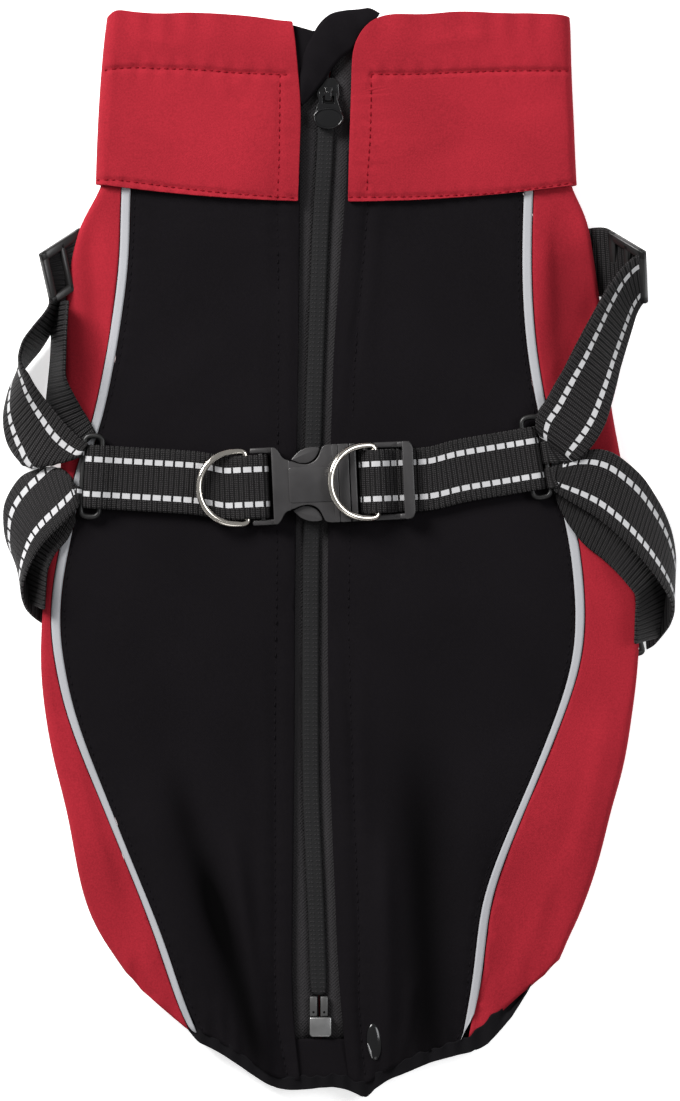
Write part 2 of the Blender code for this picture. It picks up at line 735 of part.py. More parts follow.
def make_back_straps():
    plug_bar = -27.0
    ring_left = frame_s(LEFT_RING)
    profile = [(ring_left + 31.0, STRAP_UNDER_Z), (ring_left + 16.0, STRAP_UNDER_Z),
               (ring_left + 3.0, STRAP_UNDER_Z)]
    profile += arc(ring_left, RING_Z, WRAP, 270, 90, 7)
    profile += [(ring_left + 3.0, RING_Z + WRAP - 0.3), (ring_left + 6.0, STRAP_TOP_Z + 0.9),
                (ring_left + 9.0, STRAP_TOP_Z + 0.15), (ring_left + 13.0, STRAP_TOP_Z),
                (ring_left + 34.0, STRAP_TOP_Z), (-44.0, STRAP_TOP_Z), (-40.8, STRAP_TOP_Z + 0.1),
                (-38.2, STRAP_TOP_Z + 0.9), (-35.6, RING_Z + WRAP - 0.5),
                (-32.9, RING_Z + WRAP + 0.1), (-30.0, RING_Z + WRAP)]
    profile += arc(plug_bar, RING_Z, WRAP, 90, -90, 7)
    profile += [(-34.0, STRAP_UNDER_Z), (-44.0, STRAP_UNDER_Z), (ring_left + 31.4, STRAP_UNDER_Z)]
    strap("back_strap_left", profile, LEFT_RING, 39.0, 52.0)

    socket_bar = 14.0
    ring_right = frame_s(RIGHT_RING)
    d_s, d_z, _ = D_RIGHT
    over = WIRE / 2 + SEAM + WEBBING / 2
    profile = [(ring_right - 34.0, STRAP_UNDER_Z), (ring_right - 20.0, STRAP_UNDER_Z),
               (ring_right - 3.0, STRAP_UNDER_Z)]
    profile += arc(ring_right, RING_Z, WRAP, -90, 90, 7)
    profile += [(ring_right - 3.0, RING_Z + WRAP - 0.3), (ring_right - 6.0, STRAP_TOP_Z + 0.9),
                (ring_right - 9.0, STRAP_TOP_Z + 0.15), (ring_right - 13.0, STRAP_TOP_Z),
                (ring_right - 30.0, STRAP_TOP_Z), (40.0, STRAP_TOP_Z), (33.0, STRAP_TOP_Z),
                (25.6, STRAP_TOP_Z), (24.4, STRAP_TOP_Z + 0.9), (21.3, d_z + over * 0.55),
                (19.5, d_z + over * 0.92), (d_s, d_z + over)]
    profile += [(16.0, d_z + over * 0.82)]
    profile += arc(socket_bar, RING_Z, WRAP, 140, 270, 5)
    profile += [(20.0, STRAP_UNDER_Z), (33.0, STRAP_UNDER_Z), (40.0, STRAP_UNDER_Z),
                (ring_right - 34.4, STRAP_UNDER_Z)]
    strap("back_strap_right", profile, RIGHT_RING, 36.0, 50.0)


def frame_s(frame):
    """How far along the buckle's X a ring's bar lies."""
    return math.copysign(math.hypot(frame[0] - BUCKLE[0], frame[1] - BUCKLE[1]),
                         frame[0] - BUCKLE[0])


def rounded(width, height, radius, steps=3):
    """Points round a rectangle with round corners."""
    points = []
    for cx, cy, start in ((1, 1, 0), (-1, 1, 90), (-1, -1, 180), (1, -1, 270)):
        for n in range(steps + 1):
            angle = math.radians(start + 90 * n / steps)
            points.append((cx * (width / 2 - radius) + radius * math.cos(angle),
                           cy * (height / 2 - radius) + radius * math.sin(angle)))
    return points


def make_side_rings():
    for word, frame, side in (("left", LEFT_RING, -1), ("right", RIGHT_RING, 1)):
        points = [frame_point(frame, x + side * RING_GAP / 2, y, RING_Z)
                  for x, y in rounded(RING_GAP, RING_LENGTH, 2.6)]
        tube(f"side_ring_{word}", points, BAR_WIDTH / 2, PLASTIC)


def make_d_rings():
    for word, (s, z, tilt) in (("left", D_LEFT), ("right", D_RIGHT)):
        lean = math.radians(tilt)
        flat = [(0.0, -D_HALF_WIDTH + 2.0), (0.0, -7.0), (0.0, 0.0), (0.0, 7.0),
                (0.0, D_HALF_WIDTH - 2.0), (0.6, D_HALF_WIDTH - 0.6), (2.2, D_HALF_WIDTH)]
        straight = D_DEPTH - D_HALF_WIDTH
        for n in range(17):
            angle = math.radians(90 - 180 * n / 16)
            flat.append((straight + D_HALF_WIDTH * math.cos(angle), D_HALF_WIDTH * math.sin(angle)))
        flat += [(2.2, -D_HALF_WIDTH), (0.6, -D_HALF_WIDTH + 0.6)]
        points = [frame_point(BUCKLE, s - d * math.cos(lean), t, z + d * math.sin(lean))
                  for d, t in flat]
        tube(f"d_ring_{word}", points, WIRE / 2, METAL)


def mirrored(points):
    return [(x, -y) for x, y in reversed(points)]


def make_buckle():
    low = BACK_TOP + SEAM
    body_half = [(-22.4, 15.0), (-20.6, 13.6), (-19.2, 10.6), (-17.2, 9.3),
            (-15.4, 10.0), (-14.4, 12.6), (-12.2, 13.9), (-7.6, 13.8), (-4.4, 12.0),
            (-3.0, 9.3), (-16.6, 8.9), (-18.2, 6.0)]
    plug = as_mesh(plate("buckle_plug", [body_half + mirrored(body_half)], low + 0.4, low + 7.1,
                         PLASTIC), PLASTIC)
    for word, side in (("upper", 1), ("lower", -1)):
        lip = block(f"plug_lip_{word}", (-31.1, min(side * 12.9, side * 15.0), RING_Z - 1.3),
                    (-21.0, max(side * 12.9, side * 15.0), RING_Z + 1.3))
        change(plug, lip, "UNION")
    bar = block("plug_bar", (-27.9, -13.6, RING_Z - 0.9), (-26.1, 13.6, RING_Z + 0.9))
    change(plug, bar, "UNION")
    for obj in (plug, bar, bpy.data.objects["plug_lip_upper"], bpy.data.objects["plug_lip_lower"]):
        turn_to_buckle(obj)

    front = [(-16.6, 6.0), (-16.0, 8.4), (-2.6, 8.6), (-1.6, 12.4), (1.6, 14.8), (3.4, 15.0)]
    socket = as_mesh(plate("buckle_socket", [front + mirrored(front)], low, low + 7.5, PLASTIC),
                     PLASTIC)
    joined = [block("socket_ramp", (3.0, -15.0, low), (9.4, 15.0, low + 6.3))]
    for word, side in (("upper", 1), ("lower", -1)):
        joined.append(block(f"socket_rail_{word}",
                            (8.0, min(side * 12.9, side * 15.0), low),
                            (32.6, max(side * 12.9, side * 15.0), RING_Z + 0.55)))
        joined.append(block(f"socket_end_{word}",
                            (26.2, min(side * 12.9, side * 15.0), RING_Z),
                            (32.6, max(side * 12.9, side * 15.0), low + 7.0)))
    joined.append(block("socket_bar", (13.1, -13.6, RING_Z - 0.9), (14.9, 13.6, RING_Z + 0.5)))
    joined.append(block("socket_outer_bar", (26.5, -13.4, STRAP_TOP_Z + WEBBING / 2 + SEAM),
                        (32.3, 13.4, low + 6.8)))
    for piece in joined:
        change(socket, piece, "UNION")
        turn_to_buckle(piece)
    turn_to_buckle(socket)


def turn_to_buckle(obj):
    x, y, turn = BUCKLE
    spin = Matrix.Translation(Vector((x, y, 0)) * MM) @ Matrix.Rotation(math.radians(turn), 4, "Z")
    bpy.context.view_layer.update()
    obj.matrix_world = spin @ obj.matrix_world


# ---------------------------------------------------------------- straps round the sides
# Each row gives the outer edge and the inner edge of the webbing, as x, y and z.
# The plain run comes up to the ring's bar from below, and the striped run leaves it above.
LOOP_COLUMNS = ("outer_x", "outer_y", "outer_z", "inner_x", "inner_y", "inner_z")
UPPER_LEFT_PLAIN = (
    (-112.4, 82.0, 2.0, -109.4, 84.0, 8.0),
    (-113.4, 74.0, 2.4, -108.8, 77.0, 9.2),
    (-113.8, 66.0, 3.2, -107.0, 70.0, 9.4),
    (-112.4, 57.0, 6.6, -103.4, 64.0, 9.2),
    (-108.6, 47.5, 8.7, -100.8, 54.5, 8.8),
    (-105.8, 38.4, 8.5, -103.8, 44.8, 8.5),
)
UPPER_LEFT_STRIPED = (
    (-105.4, 35.4, 13.3, -103.6, 43.2, 13.3),
    (-110.2, 33.6, 12.4, -104.0, 45.6, 13.2),
    (-116.4, 32.2, 10.2, -104.4, 47.2, 13.1),
    (-122.9, 33.0, 7.2, -105.2, 49.0, 12.9),
    (-128.5, 37.4, 4.0, -108.0, 52.4, 12.7),
    (-131.6, 46.4, 1.6, -111.6, 56.6, 12.7),
    (-130.5, 58.0, 1.0, -114.9, 60.6, 13.4),
    (-127.7, 67.0, 1.0, -120.7, 70.6, 16.0),
    (-122.7, 71.8, 1.0, -125.0, 75.0, 17.0),
    (-116.8, 78.4, 1.4, -123.4, 81.5, 16.0),
    (-113.8, 84.0, 2.0, -119.0, 87.6, 14.0),
    (-112.8, 90.0, 4.0, -115.6, 94.4, 12.0),
)
LOWER_LEFT_PLAIN = (
    (-120.4, -5.0, 4.0, -116.8, -8.6, 8.6),
    (-119.8, -1.4, 5.0, -113.6, -5.2, 9.2),
    (-118.4, 3.4, 6.4, -110.2, -1.0, 9.1),
    (-113.8, 12.0, 8.2, -105.6, 4.2, 8.9),
    (-107.6, 20.6, 8.5, -103.6, 12.6, 8.6),
)
LOWER_LEFT_STRIPED = (
    (-105.2, 27.2, 13.2, -104.6, 17.8, 13.3),
    (-110.4, 30.6, 10.4, -105.4, 13.8, 13.1),
    (-117.0, 31.6, 6.6, -108.4, 9.6, 12.8),
    (-124.4, 28.6, 3.4, -112.6, 5.4, 12.8),
    (-130.6, 19.4, 1.0, -116.6, 0.8, 13.0),
    (-130.6, 9.6, 1.0, -119.6, -4.4, 14.4),
    (-127.6, -0.6, 1.0, -120.8, -9.0, 16.0),
    (-124.8, -10.2, 1.0, -121.8, -13.4, 15.0),
    (-122.8, -18.4, 1.0, -120.6, -13.4, 9.4),
    (-119.6, -24.4, 0.9, -118.2, -11.0, 3.2),
    (-115.4, -27.8, 0.9, -114.8, -7.8, 0.9),
)
UPPER_RIGHT_PLAIN = (
    (100.6, 58.0, 9.0, 88.0, 71.0, 9.0),
    (98.6, 49.5, 8.9, 84.4, 63.5, 8.9),
    (95.6, 43.4, 8.8, 82.2, 56.6, 8.8),
    (90.2, 38.4, 8.6, 82.8, 50.4, 8.6),
    (86.6, 35.4, 8.5, 83.6, 46.6, 8.5),
)
UPPER_RIGHT_STRIPED = (
    (86.4, 34.4, 13.5, 82.4, 45.8, 13.3),
    (90.6, 35.4, 13.7, 81.2, 49.2, 13.3),
    (95.4, 37.6, 13.6, 79.4, 53.2, 12.8),
    (100.8, 42.1, 13.2, 79.8, 58.8, 12.4),
    (104.6, 47.6, 12.2, 82.4, 65.2, 12.4),
    (107.5, 54.0, 11.4, 86.2, 72.4, 12.6),
    (109.4, 62.0, 9.8, 91.5, 82.0, 13.4),
    (110.6, 71.0, 7.6, 95.6, 89.0, 14.4),
    (112.2, 79.0, 5.0, 99.6, 95.6, 15.4),
    (113.8, 86.4, 3.6, 103.6, 103.0, 15.4),
    (115.4, 91.5, 5.4, 108.8, 110.6, 13.6),
    (116.6, 95.8, 7.0, 113.0, 115.8, 9.4),
)
LOWER_RIGHT_PLAIN = (
    (121.4, -11.4, 3.8, 118.8, -17.2, 8.4),
    (120.6, -5.0, 6.0, 115.2, -15.4, 9.4),
    (116.8, 4.0, 8.2, 108.4, -8.4, 9.4),
    (110.6, 12.6, 8.5, 102.4, -3.2, 8.8),
    (103.4, 20.4, 8.7, 95.6, 2.2, 8.6),
    (95.6, 26.4, 8.6, 90.4, 9.2, 8.6),
    (90.6, 30.2, 8.5, 88.2, 17.0, 8.5),
    (86.2, 33.4, 8.5, 86.4, 24.4, 8.5),
)
LOWER_RIGHT_STRIPED = (
    (87.6, 33.4, 12.6, 88.8, 23.6, 12.8),
    (90.8, 36.6, 11.4, 90.4, 19.4, 11.8),
    (95.6, 39.4, 11.2, 91.4, 16.4, 11.4),
    (101.0, 40.2, 11.0, 95.6, 14.6, 11.3),
    (108.6, 36.4, 11.0, 101.0, 11.0, 11.6),
    (115.6, 31.0, 9.2, 107.4, 5.6, 12.0),
    (122.3, 25.3, 4.8, 113.3, 1.2, 12.4),
    (127.3, 19.9, 1.6, 118.4, -4.3, 12.6),
    (130.8, 13.0, 1.0, 123.0, -9.0, 13.6),
    (131.8, 4.0, 1.0, 127.0, -12.6, 15.0),
    (131.4, -7.0, 1.0, 128.6, -17.6, 17.0),
    (129.8, -19.0, 1.0, 127.6, -23.0, 16.0),
    (127.6, -29.6, 1.0, 125.0, -22.0, 12.0),
    (125.0, -35.0, 1.0, 121.4, -18.6, 6.0),
    (122.6, -37.4, 0.9, 117.0, -16.4, 0.9),
)
# Where each loop's two edges hold the ring's bar, measured along it
UPPER_LEFT_GRIP = (7.0, 13.0)
LOWER_LEFT_GRIP = (-4.0, -10.0)
UPPER_RIGHT_GRIP = (-2.9, 8.0)
LOWER_RIGHT_GRIP = (-4.4, -12.6)

# Sliders: middle x, y, z, turn about Z, roll about their length
SLIDERS = (
    ("slider_upper_left", -110.6, 110.4, 7.2, 11.0, -25.0),
    ("slider_upper_right", 112.4, 111.4, 6.4, -8.0, 25.0),
    ("slider_lower_left", -106.4, -16.6, 1.1, 0.0, 0.0),
    ("slider_lower_right", 109.8, -29.5, 1.1, 15.0, 0.0),
)
SLIDER_LENGTH = 26.0
SLIDER_WIDTH = 14.0
SLIDER_HEIGHT = 2.2


def around_bar(frame, side, grip):
    """Rows round a ring's outer bar, from its underside to its top."""
    rows = []
    for s, z in arc(side * RING_GAP, RING_Z, WRAP, -90 if side < 0 else 270, 90, 7):
        rows.append([frame_point(frame, s, t, z) for t in grip])
    return rows


def make_loops():
    for name, frame, side, plain, striped, grip in (
            ("loop_upper_left", LEFT_RING, -1, UPPER_LEFT_PLAIN, UPPER_LEFT_STRIPED,
             UPPER_LEFT_GRIP),
            ("loop_lower_left", LEFT_RING, -1, LOWER_LEFT_PLAIN, LOWER_LEFT_STRIPED,
             LOWER_LEFT_GRIP),
            ("loop_upper_right", RIGHT_RING, 1, UPPER_RIGHT_PLAIN, UPPER_RIGHT_STRIPED,
             UPPER_RIGHT_GRIP),
            ("loop_lower_right", RIGHT_RING, 1, LOWER_RIGHT_PLAIN, LOWER_RIGHT_STRIPED,
             LOWER_RIGHT_GRIP)):
        rows = [(row[:3], row[3:]) for row in smooth_rows(plain, 2)]
        rows += around_bar(frame, side, grip)
        rows += [(row[:3], row[3:]) for row in smooth_rows(striped, 3)]
        ribbon(name, rows, parts=2)


def make_sliders():
    for name, x, y, z, turn, roll in SLIDERS:
        outer = rounded(SLIDER_WIDTH, SLIDER_LENGTH, 2.0)
        slots = []
        for side in (-1, 1):
            middle = side * (SLIDER_WIDTH / 4 - 0.1)
            half = SLIDER_WIDTH / 4 - 2.0
            slots.append([(middle - half, -SLIDER_LENGTH / 2 + 2.4),
                          (middle + half, -SLIDER_LENGTH / 2 + 2.4),
                          (middle + half, SLIDER_LENGTH / 2 - 2.4),
                          (middle - half, SLIDER_LENGTH / 2 - 2.4)])
        slider = plate(name, [outer, *slots], -SLIDER_HEIGHT / 2, SLIDER_HEIGHT / 2, PLASTIC)
        slider.location = Vector((x, y, z)) * MM
        slider.rotation_euler = (0.0, math.radians(roll), math.radians(turn))


def make_under_straps():
    z = WEBBING / 2
    half = WEBBING_WIDTH / 2
    for name, left, right in (("chest_strap", (-108.0, CHEST_Y), (109.0, CHEST_Y)),
                              ("girth_strap", (STRAP_END_LEFT, GIRTH_LEFT_Y),
                               (STRAP_END_RIGHT, GIRTH_RIGHT_Y))):
        rows = []
        for n in range(7):
            x, y = Vector(left).lerp(Vector(right), n / 6)
            rows.append(((x, y - half, z), (x, y + half, z)))
        ribbon(name, rows)


# ---------------------------------------------------------------- small pieces
# The zip's guard, from the right collar's top down to the left collar's edge
GUARD_COLUMNS = ("upper_x", "upper_y", "lower_x", "lower_y")
GUARD = (
    (9.8, 209.2, 8.4, 205.2), (5.0, 210.8, 4.6, 199.6), (-3.0, 208.0, 0.2, 194.0),
    (-10.0, 203.6, -5.2, 188.4), (-13.8, 197.5, -9.6, 183.2), (-14.5, 190.0, -12.9, 178.6),
)
GUARD_Z = 8.95
SNAP = (12.2, -190.5, 4.0, 14.5)


def make_guard_and_snap():
    rows = []
    for ux, uy, lx, ly in smooth_rows(GUARD, 2):
        upper = Vector((ux, uy, GUARD_Z + 0.5))
        lower = Vector((lx, ly, GUARD_Z + 0.5))
        rows.append([upper.lerp(lower, n / 4) + Vector((0, 0, 0.7 * math.sin(math.pi * n / 4)))
                     for n in range(5)])
    sheet("zip_guard", rows, 1.4, BLACK)
    x, y, width, length = SNAP
    snap = plate("hem_snap", [rounded(width, length, 1.9)], 8.7, 9.7, DARK_METAL)
    snap.location.x = x * MM
    snap.location.y = y * MM


def main():
    clear_scene()
    collection("dog_coat")
    collection("cutters")
    make_body()
    make_hem()
    make_collar()
    make_zip()
    make_back_straps()
    make_side_rings()
    make_d_rings()
    make_buckle()
    make_loops()
    make_sliders()
    make_under_straps()
    make_guard_and_snap()
    for obj in bpy.data.objects:
        obj.location.y -= ORIGIN_Y * MM


main()
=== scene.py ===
"""A dog coat with a built-in harness, zipped up and laid flat on its belly."""
import math
from functools import partial

import bmesh
import bpy
import numpy as np
from mathutils import Matrix, Vector
from mathutils.bvhtree import BVHTree


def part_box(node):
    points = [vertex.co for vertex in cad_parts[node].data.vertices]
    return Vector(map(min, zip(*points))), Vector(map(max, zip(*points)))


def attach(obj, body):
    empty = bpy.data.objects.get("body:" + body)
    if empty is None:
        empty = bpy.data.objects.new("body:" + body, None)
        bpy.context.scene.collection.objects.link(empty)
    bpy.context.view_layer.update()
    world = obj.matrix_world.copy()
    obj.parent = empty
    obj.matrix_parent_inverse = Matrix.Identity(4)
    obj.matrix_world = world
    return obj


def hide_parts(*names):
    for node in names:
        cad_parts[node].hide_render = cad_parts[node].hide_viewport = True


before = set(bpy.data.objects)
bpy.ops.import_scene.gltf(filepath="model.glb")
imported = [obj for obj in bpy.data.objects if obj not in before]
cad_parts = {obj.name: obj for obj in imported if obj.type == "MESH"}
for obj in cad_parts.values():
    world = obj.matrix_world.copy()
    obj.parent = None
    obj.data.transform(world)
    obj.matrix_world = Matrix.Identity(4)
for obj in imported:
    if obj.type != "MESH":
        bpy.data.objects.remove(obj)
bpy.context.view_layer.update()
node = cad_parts

# ------------------------------------------------------------------ table and camera
# The coat lies on a white table and is seen from straight above, as on a product sheet.
# A long lens at two and a half metres keeps the collar and the hem at one scale.
MM = 0.001
MM_PER_PIXEL = 0.39
PHOTO_HEIGHT = 1101
CLOTH_TOP = 0.008
EYE_DISTANCE = 2.5
TABLE_DROP = 0.0004
TABLE_HALF = 3.0
SENSOR = 36.0                     # in millimetres

eye = bpy.data.cameras.new("eye")
eye.sensor_fit = "VERTICAL"
eye.sensor_height = SENSOR
eye.lens = SENSOR * EYE_DISTANCE / (PHOTO_HEIGHT * MM_PER_PIXEL * MM)
eye.clip_end = 20.0
EYE_OVER = (0.0002, -0.0398)      # the photo's middle, in metres


def put(name, data):
    made = bpy.data.objects.new(name, data)
    bpy.context.scene.collection.objects.link(made)
    return made


camera = put("camera", eye)
camera.location = (*EYE_OVER, CLOTH_TOP + EYE_DISTANCE)
bpy.context.scene.camera = camera
bpy.context.scene.view_settings.view_transform = "Standard"

table_form = bmesh.new()
bmesh.ops.create_grid(table_form, x_segments=1, y_segments=1, size=TABLE_HALF)
bmesh.ops.translate(table_form, verts=table_form.verts, vec=(0.0, 0.0, -TABLE_DROP))
table_mesh = bpy.data.meshes.new("table")
table_form.to_mesh(table_mesh)
table_form.free()
table = put("table", table_mesh)
table_white = bpy.data.materials.new("table_white")
table_white.use_nodes = True
for setting, value in (("Base Color", (0.9, 0.9, 0.9, 1.0)), ("Roughness", 0.9),
                       ("Emission Color", (1.0, 1.0, 1.0, 1.0)), ("Emission Strength", 0.6)):
    table_white.node_tree.nodes["Principled BSDF"].inputs[setting].default_value = value
table_mesh.materials.append(table_white)

for lamp, stand, size, power, tone in (
        ("window_light", (-1.05, 1.0, 1.0), 0.7, 48.0, (1.0, 0.99, 0.98)),
        ("room_light", (1.3, 0.3, 1.5), 0.8, 13.0, (0.97, 0.98, 1.0)),
        ("hem_light", (0.2, -1.6, 1.2), 0.8, 3.0, (1.0, 1.0, 1.0))):
    light = bpy.data.lights.new(lamp, "AREA")
    light.size = size
    light.energy = power
    light.color = tone
    light_object = put(lamp, light)
    light_object.location = stand
    light_object.rotation_euler = (-Vector(stand)).to_track_quat("-Z", "Y").to_euler()
room = bpy.data.worlds.new("room")
room.use_nodes = True
room_light = room.node_tree.nodes["Background"].inputs
room_light["Color"].default_value = (1.0, 1.0, 1.0, 1.0)
room_light["Strength"].default_value = 0.28
bpy.context.scene.world = room

# ------------------------------------------------------------------ black back panels
# Two panels of black softshell, a dense weave with a fleece back, cut each side of the zip.
# They fold under at the zip, are stitched along that fold and beside the piping, and their
# hems are gathered by elastic.
BLACK_SOFTSHELL = (0.0067, 0.0058, 0.0069)
BLACK_THREAD = (0.0075, 0.0065, 0.0078)
PLACKET_STITCHES = (
    ((-24.4, 95.3), (-23.8, 51.3), (-24.1, 7.2), (-24.4, -48.2), (-25.2, -103.2), (-25, -178.1),
     (-25.2, -199.5), (-24.8, -218.2), (-23.2, -230.7), (-20.5, -243.8)),
    ((11.1, 95.3), (8.8, 68.4), (6.4, 39.6), (5.3, 16.9), (3.7, -51.3), (3.7, -74.7), (5.3, -132),
     (7.5, -189.4), (7.5, -213.9), (8.8, -232.7), (9.9, -243.8)),
)
# The hem's line, where the panels end and where the binding ends: x, panel y, binding y
HEM = (
    (-83.7, -203, -203), (-77, -206.3, -210.5), (-70.4, -211.8, -217),
    (-58.9, -224.2, -229.2), (-46.7, -231.6, -235.8), (-35.1, -239.1, -243.6),
    (-25.8, -245, -249.2), (-17.9, -246.5, -250.3), (0.1, -245.6, -249.4),
    (9.5, -248.4, -252.6), (13.8, -246.2, -250.5), (17.4, -242.9, -247),
    (25.3, -240, -244), (34.6, -235.8, -239.9), (52.6, -229.6, -234.3),
    (59.1, -223, -228.4), (67.7, -212.2, -217.6), (73.5, -206, -211),
    (80, -200.6, -204.2), (86, -197, -197),
)
HEM_X, HEM_Y, BINDING_Y = zip(*HEM)
# Creases of the cloth: from x, y to x, y, how high or deep, and half their width
CREASES = (
    (-62, -132, -34, -232, -1, 5), (-42, -150, -28, -250, 3.4, 4.6),
    (-78, -130, -52, -228, 2.4, 9), (-50, -214, -42, -240, 0.9, 3),
    (30, -126, 34, -200, -0.9, 5), (52, -130, 52, -226, 2, 9),
    (17, -150, 19, -246, 2.4, 4.6), (29, -206, 26, -236, 0.9, 2.4),
    (-30, 60, -62, 16, 0.8, 12), (20, 80, 46, 26, 0.8, 12),
    (-84, -56, -40, -112, 0.9, 13), (24, -46, 66, -104, 0.9, 13),
    (-56, -60, -70, -150, -0.8, 14), (46, -60, 70, -130, -0.8, 12),
    (-98, 92, -93, 36, -0.9, 3.5), (-104, 86, -99, 22, 0.6, 3.5),
    (87, 92, 92, 20, -2.4, 4.5), (80, 84, 80, 44, 0.9, 4),
    (98, 62, 88, 24, -1.4, 4), (106, -100, 88, -172, 0.9, 4.5),
    (98, -120, 80, -190, -0.9, 4), (-106, -108, -88, -180, 0.9, 4.5),
    (-100, -120, -76, -200, -0.9, 4), (-96, -150, -70, -210, 0.7, 3),
    (92, -150, 66, -212, 0.7, 3), (-81, -200, -72, -211, -1.3, 2),
    (-77, -196, -66, -214, 0.8, 2.2), (60, -200, 54, -226, -0.7, 2),
)
# Painted shade in the hollows of the black panels' folds, darker where shade falls, laid out as
# the creases are
BLACK_PAINTED_FOLD_SHADE = (
    (-66, -126, -44, -198, 0.45, 5.2), (-54, -160, -28, -250, 0.80, 5),
    (30, -104, 37, -262, 0.42, 11), (31, -134, 35, -250, 0.34, 6),
)


def group_sockets(group, inputs, outputs):
    for name, kind, value in inputs:
        socket = group.interface.new_socket(name, in_out="INPUT", socket_type=kind)
        if value is not None:
            socket.default_value = value
    for name, kind in outputs:
        group.interface.new_socket(name, in_out="OUTPUT", socket_type=kind)
    return group.nodes.new("NodeGroupInput"), group.nodes.new("NodeGroupOutput")


def math_node(tree, operation, *values):
    made = tree.nodes.new("ShaderNodeMath")
    made.operation = operation
    for n, value in enumerate(values):
        if isinstance(value, (int, float)):
            made.inputs[n].default_value = value
        else:
            tree.links.new(value, made.inputs[n])
    return made.outputs[0]


def noise_node(tree, place, scale, detail=2.0):
    made = tree.nodes.new("ShaderNodeTexNoise")
    made.inputs["Scale"].default_value = scale
    made.inputs["Detail"].default_value = detail
    tree.links.new(place, made.inputs["Vector"])
    return made.outputs["Fac"]


def scaled(tree, colour, factor):
    made = tree.nodes.new("ShaderNodeVectorMath")
    made.operation = "SCALE"
    tree.links.new(colour, made.inputs[0])
    tree.links.new(factor, made.inputs["Scale"])
    return made.outputs[0]


# The woven face: fine yarns that cross, and a faint cloudiness where the nap lies either way.
softshell_weave = bpy.data.node_groups.new("softshell_weave", "ShaderNodeTree")
weave_in, weave_out = group_sockets(
    softshell_weave,
    (("Place", "NodeSocketVector", None), ("Colour", "NodeSocketColor", (0.1, 0.1, 0.1, 1.0)),
     ("Yarns per metre", "NodeSocketFloat", 3200.0), ("Cloudiness", "NodeSocketFloat", 0.2)),
    (("Colour", "NodeSocketColor"), ("Height", "NodeSocketFloat")))
tree = softshell_weave
link = tree.links.new
calc = partial(math_node, tree)
weave_place = weave_in.outputs["Place"]
apart = tree.nodes.new("ShaderNodeSeparateXYZ")
link(scaled(tree, weave_place, weave_in.outputs["Yarns per metre"]), apart.inputs[0])
warp, weft = (calc("SINE", calc("MULTIPLY", apart.outputs[n], math.pi)) for n in (0, 1))
link(calc("MULTIPLY_ADD", calc("MULTIPLY", warp, weft), 0.35,
          noise_node(tree, weave_place, 2600.0)), weave_out.inputs["Height"])
clouds = noise_node(tree, weave_place, 22.0, 4.0)
specks = noise_node(tree, weave_place, 1500.0, 3.0)
uneven = calc("MULTIPLY_ADD", calc("SUBTRACT", specks, 0.5), 1.1, calc("SUBTRACT", clouds, 0.5))
shade = calc("MULTIPLY_ADD", uneven, weave_in.outputs["Cloudiness"], 1.0)
link(scaled(tree, weave_in.outputs["Colour"], shade), weave_out.inputs["Colour"])


def grouped(name, group, relief, depth, settings, face):
    """A material whose colour and relief come from a shared node group. settings are the
    group's values, and face the shader's."""
    made = bpy.data.materials.new(name)
    made.use_nodes = True
    tree = made.node_tree
    shader = tree.nodes["Principled BSDF"]
    effect = tree.nodes.new("ShaderNodeGroup")
    effect.node_tree = group
    bump = tree.nodes.new("ShaderNodeBump")
    for changed, values in ((shader, face), (effect, settings),
                            (bump, {"Strength": relief, "Distance": depth})):
        for setting, value in values.items():
            changed.inputs[setting].default_value = value
    if "Place" in effect.inputs:
        place = tree.nodes.new("ShaderNodeTexCoord")
        tree.links.new(place.outputs["Object"], effect.inputs["Place"])
    tree.links.new(effect.outputs["Height"], bump.inputs["Height"])
    tree.links.new(bump.outputs["Normal"], shader.inputs["Normal"])
    tree.links.new(effect.outputs["Colour"], shader.inputs["Base Color"])
    return made, shader, effect


def woven(name, colour, roughness, yarns=3200.0, cloudiness=0.3, relief=0.3, depth=0.00012,
          sheen=0.0, sheen_tone=(1.0, 1.0, 1.0), painted_shade=False):
    """A cloth material with the softshell's weave at its own scale. With painted_shade its colour
    is darkened by painted shade where the mesh's own painted_shade_amount attribute says so."""
    made, shader, weave = grouped(
        name, softshell_weave, relief, depth,
        {"Colour": (*colour, 1.0), "Yarns per metre": yarns, "Cloudiness": cloudiness},
        {"Base Color": (*colour, 1.0), "Roughness": roughness, "Specular IOR Level": 0.03,
         "Sheen Weight": sheen, "Sheen Roughness": 0.5, "Sheen Tint": (*sheen_tone, 1.0)})
    if painted_shade:
        tree = made.node_tree
        shade_amount_node = tree.nodes.new("ShaderNodeAttribute")
        shade_amount_node.attribute_name = "painted_shade_amount"
        kept = math_node(tree, "SUBTRACT", 1.0, shade_amount_node.outputs["Fac"])
        tree.links.new(scaled(tree, weave.outputs["Colour"], kept), shader.inputs["Base Color"])
    return made


black_softshell = woven("black_softshell", BLACK_SOFTSHELL, 0.85, relief=0.5, cloudiness=0.5,
                        painted_shade=True)
black_thread = woven("black_thread", BLACK_THREAD, 0.8, relief=0.0)
SAME_SPOT = 0.000002              # points closer than this are one, in metres
RIM_ANGLE = 0.9                   # a fold sharper than this, in radians, is a rim
FLAT_ANGLE = 0.03                 # and one less than this is flat


def copied(cad_name):
    form = bmesh.new()
    form.from_mesh(node[cad_name].data)
    bmesh.ops.remove_doubles(form, verts=form.verts, dist=SAME_SPOT)
    return form


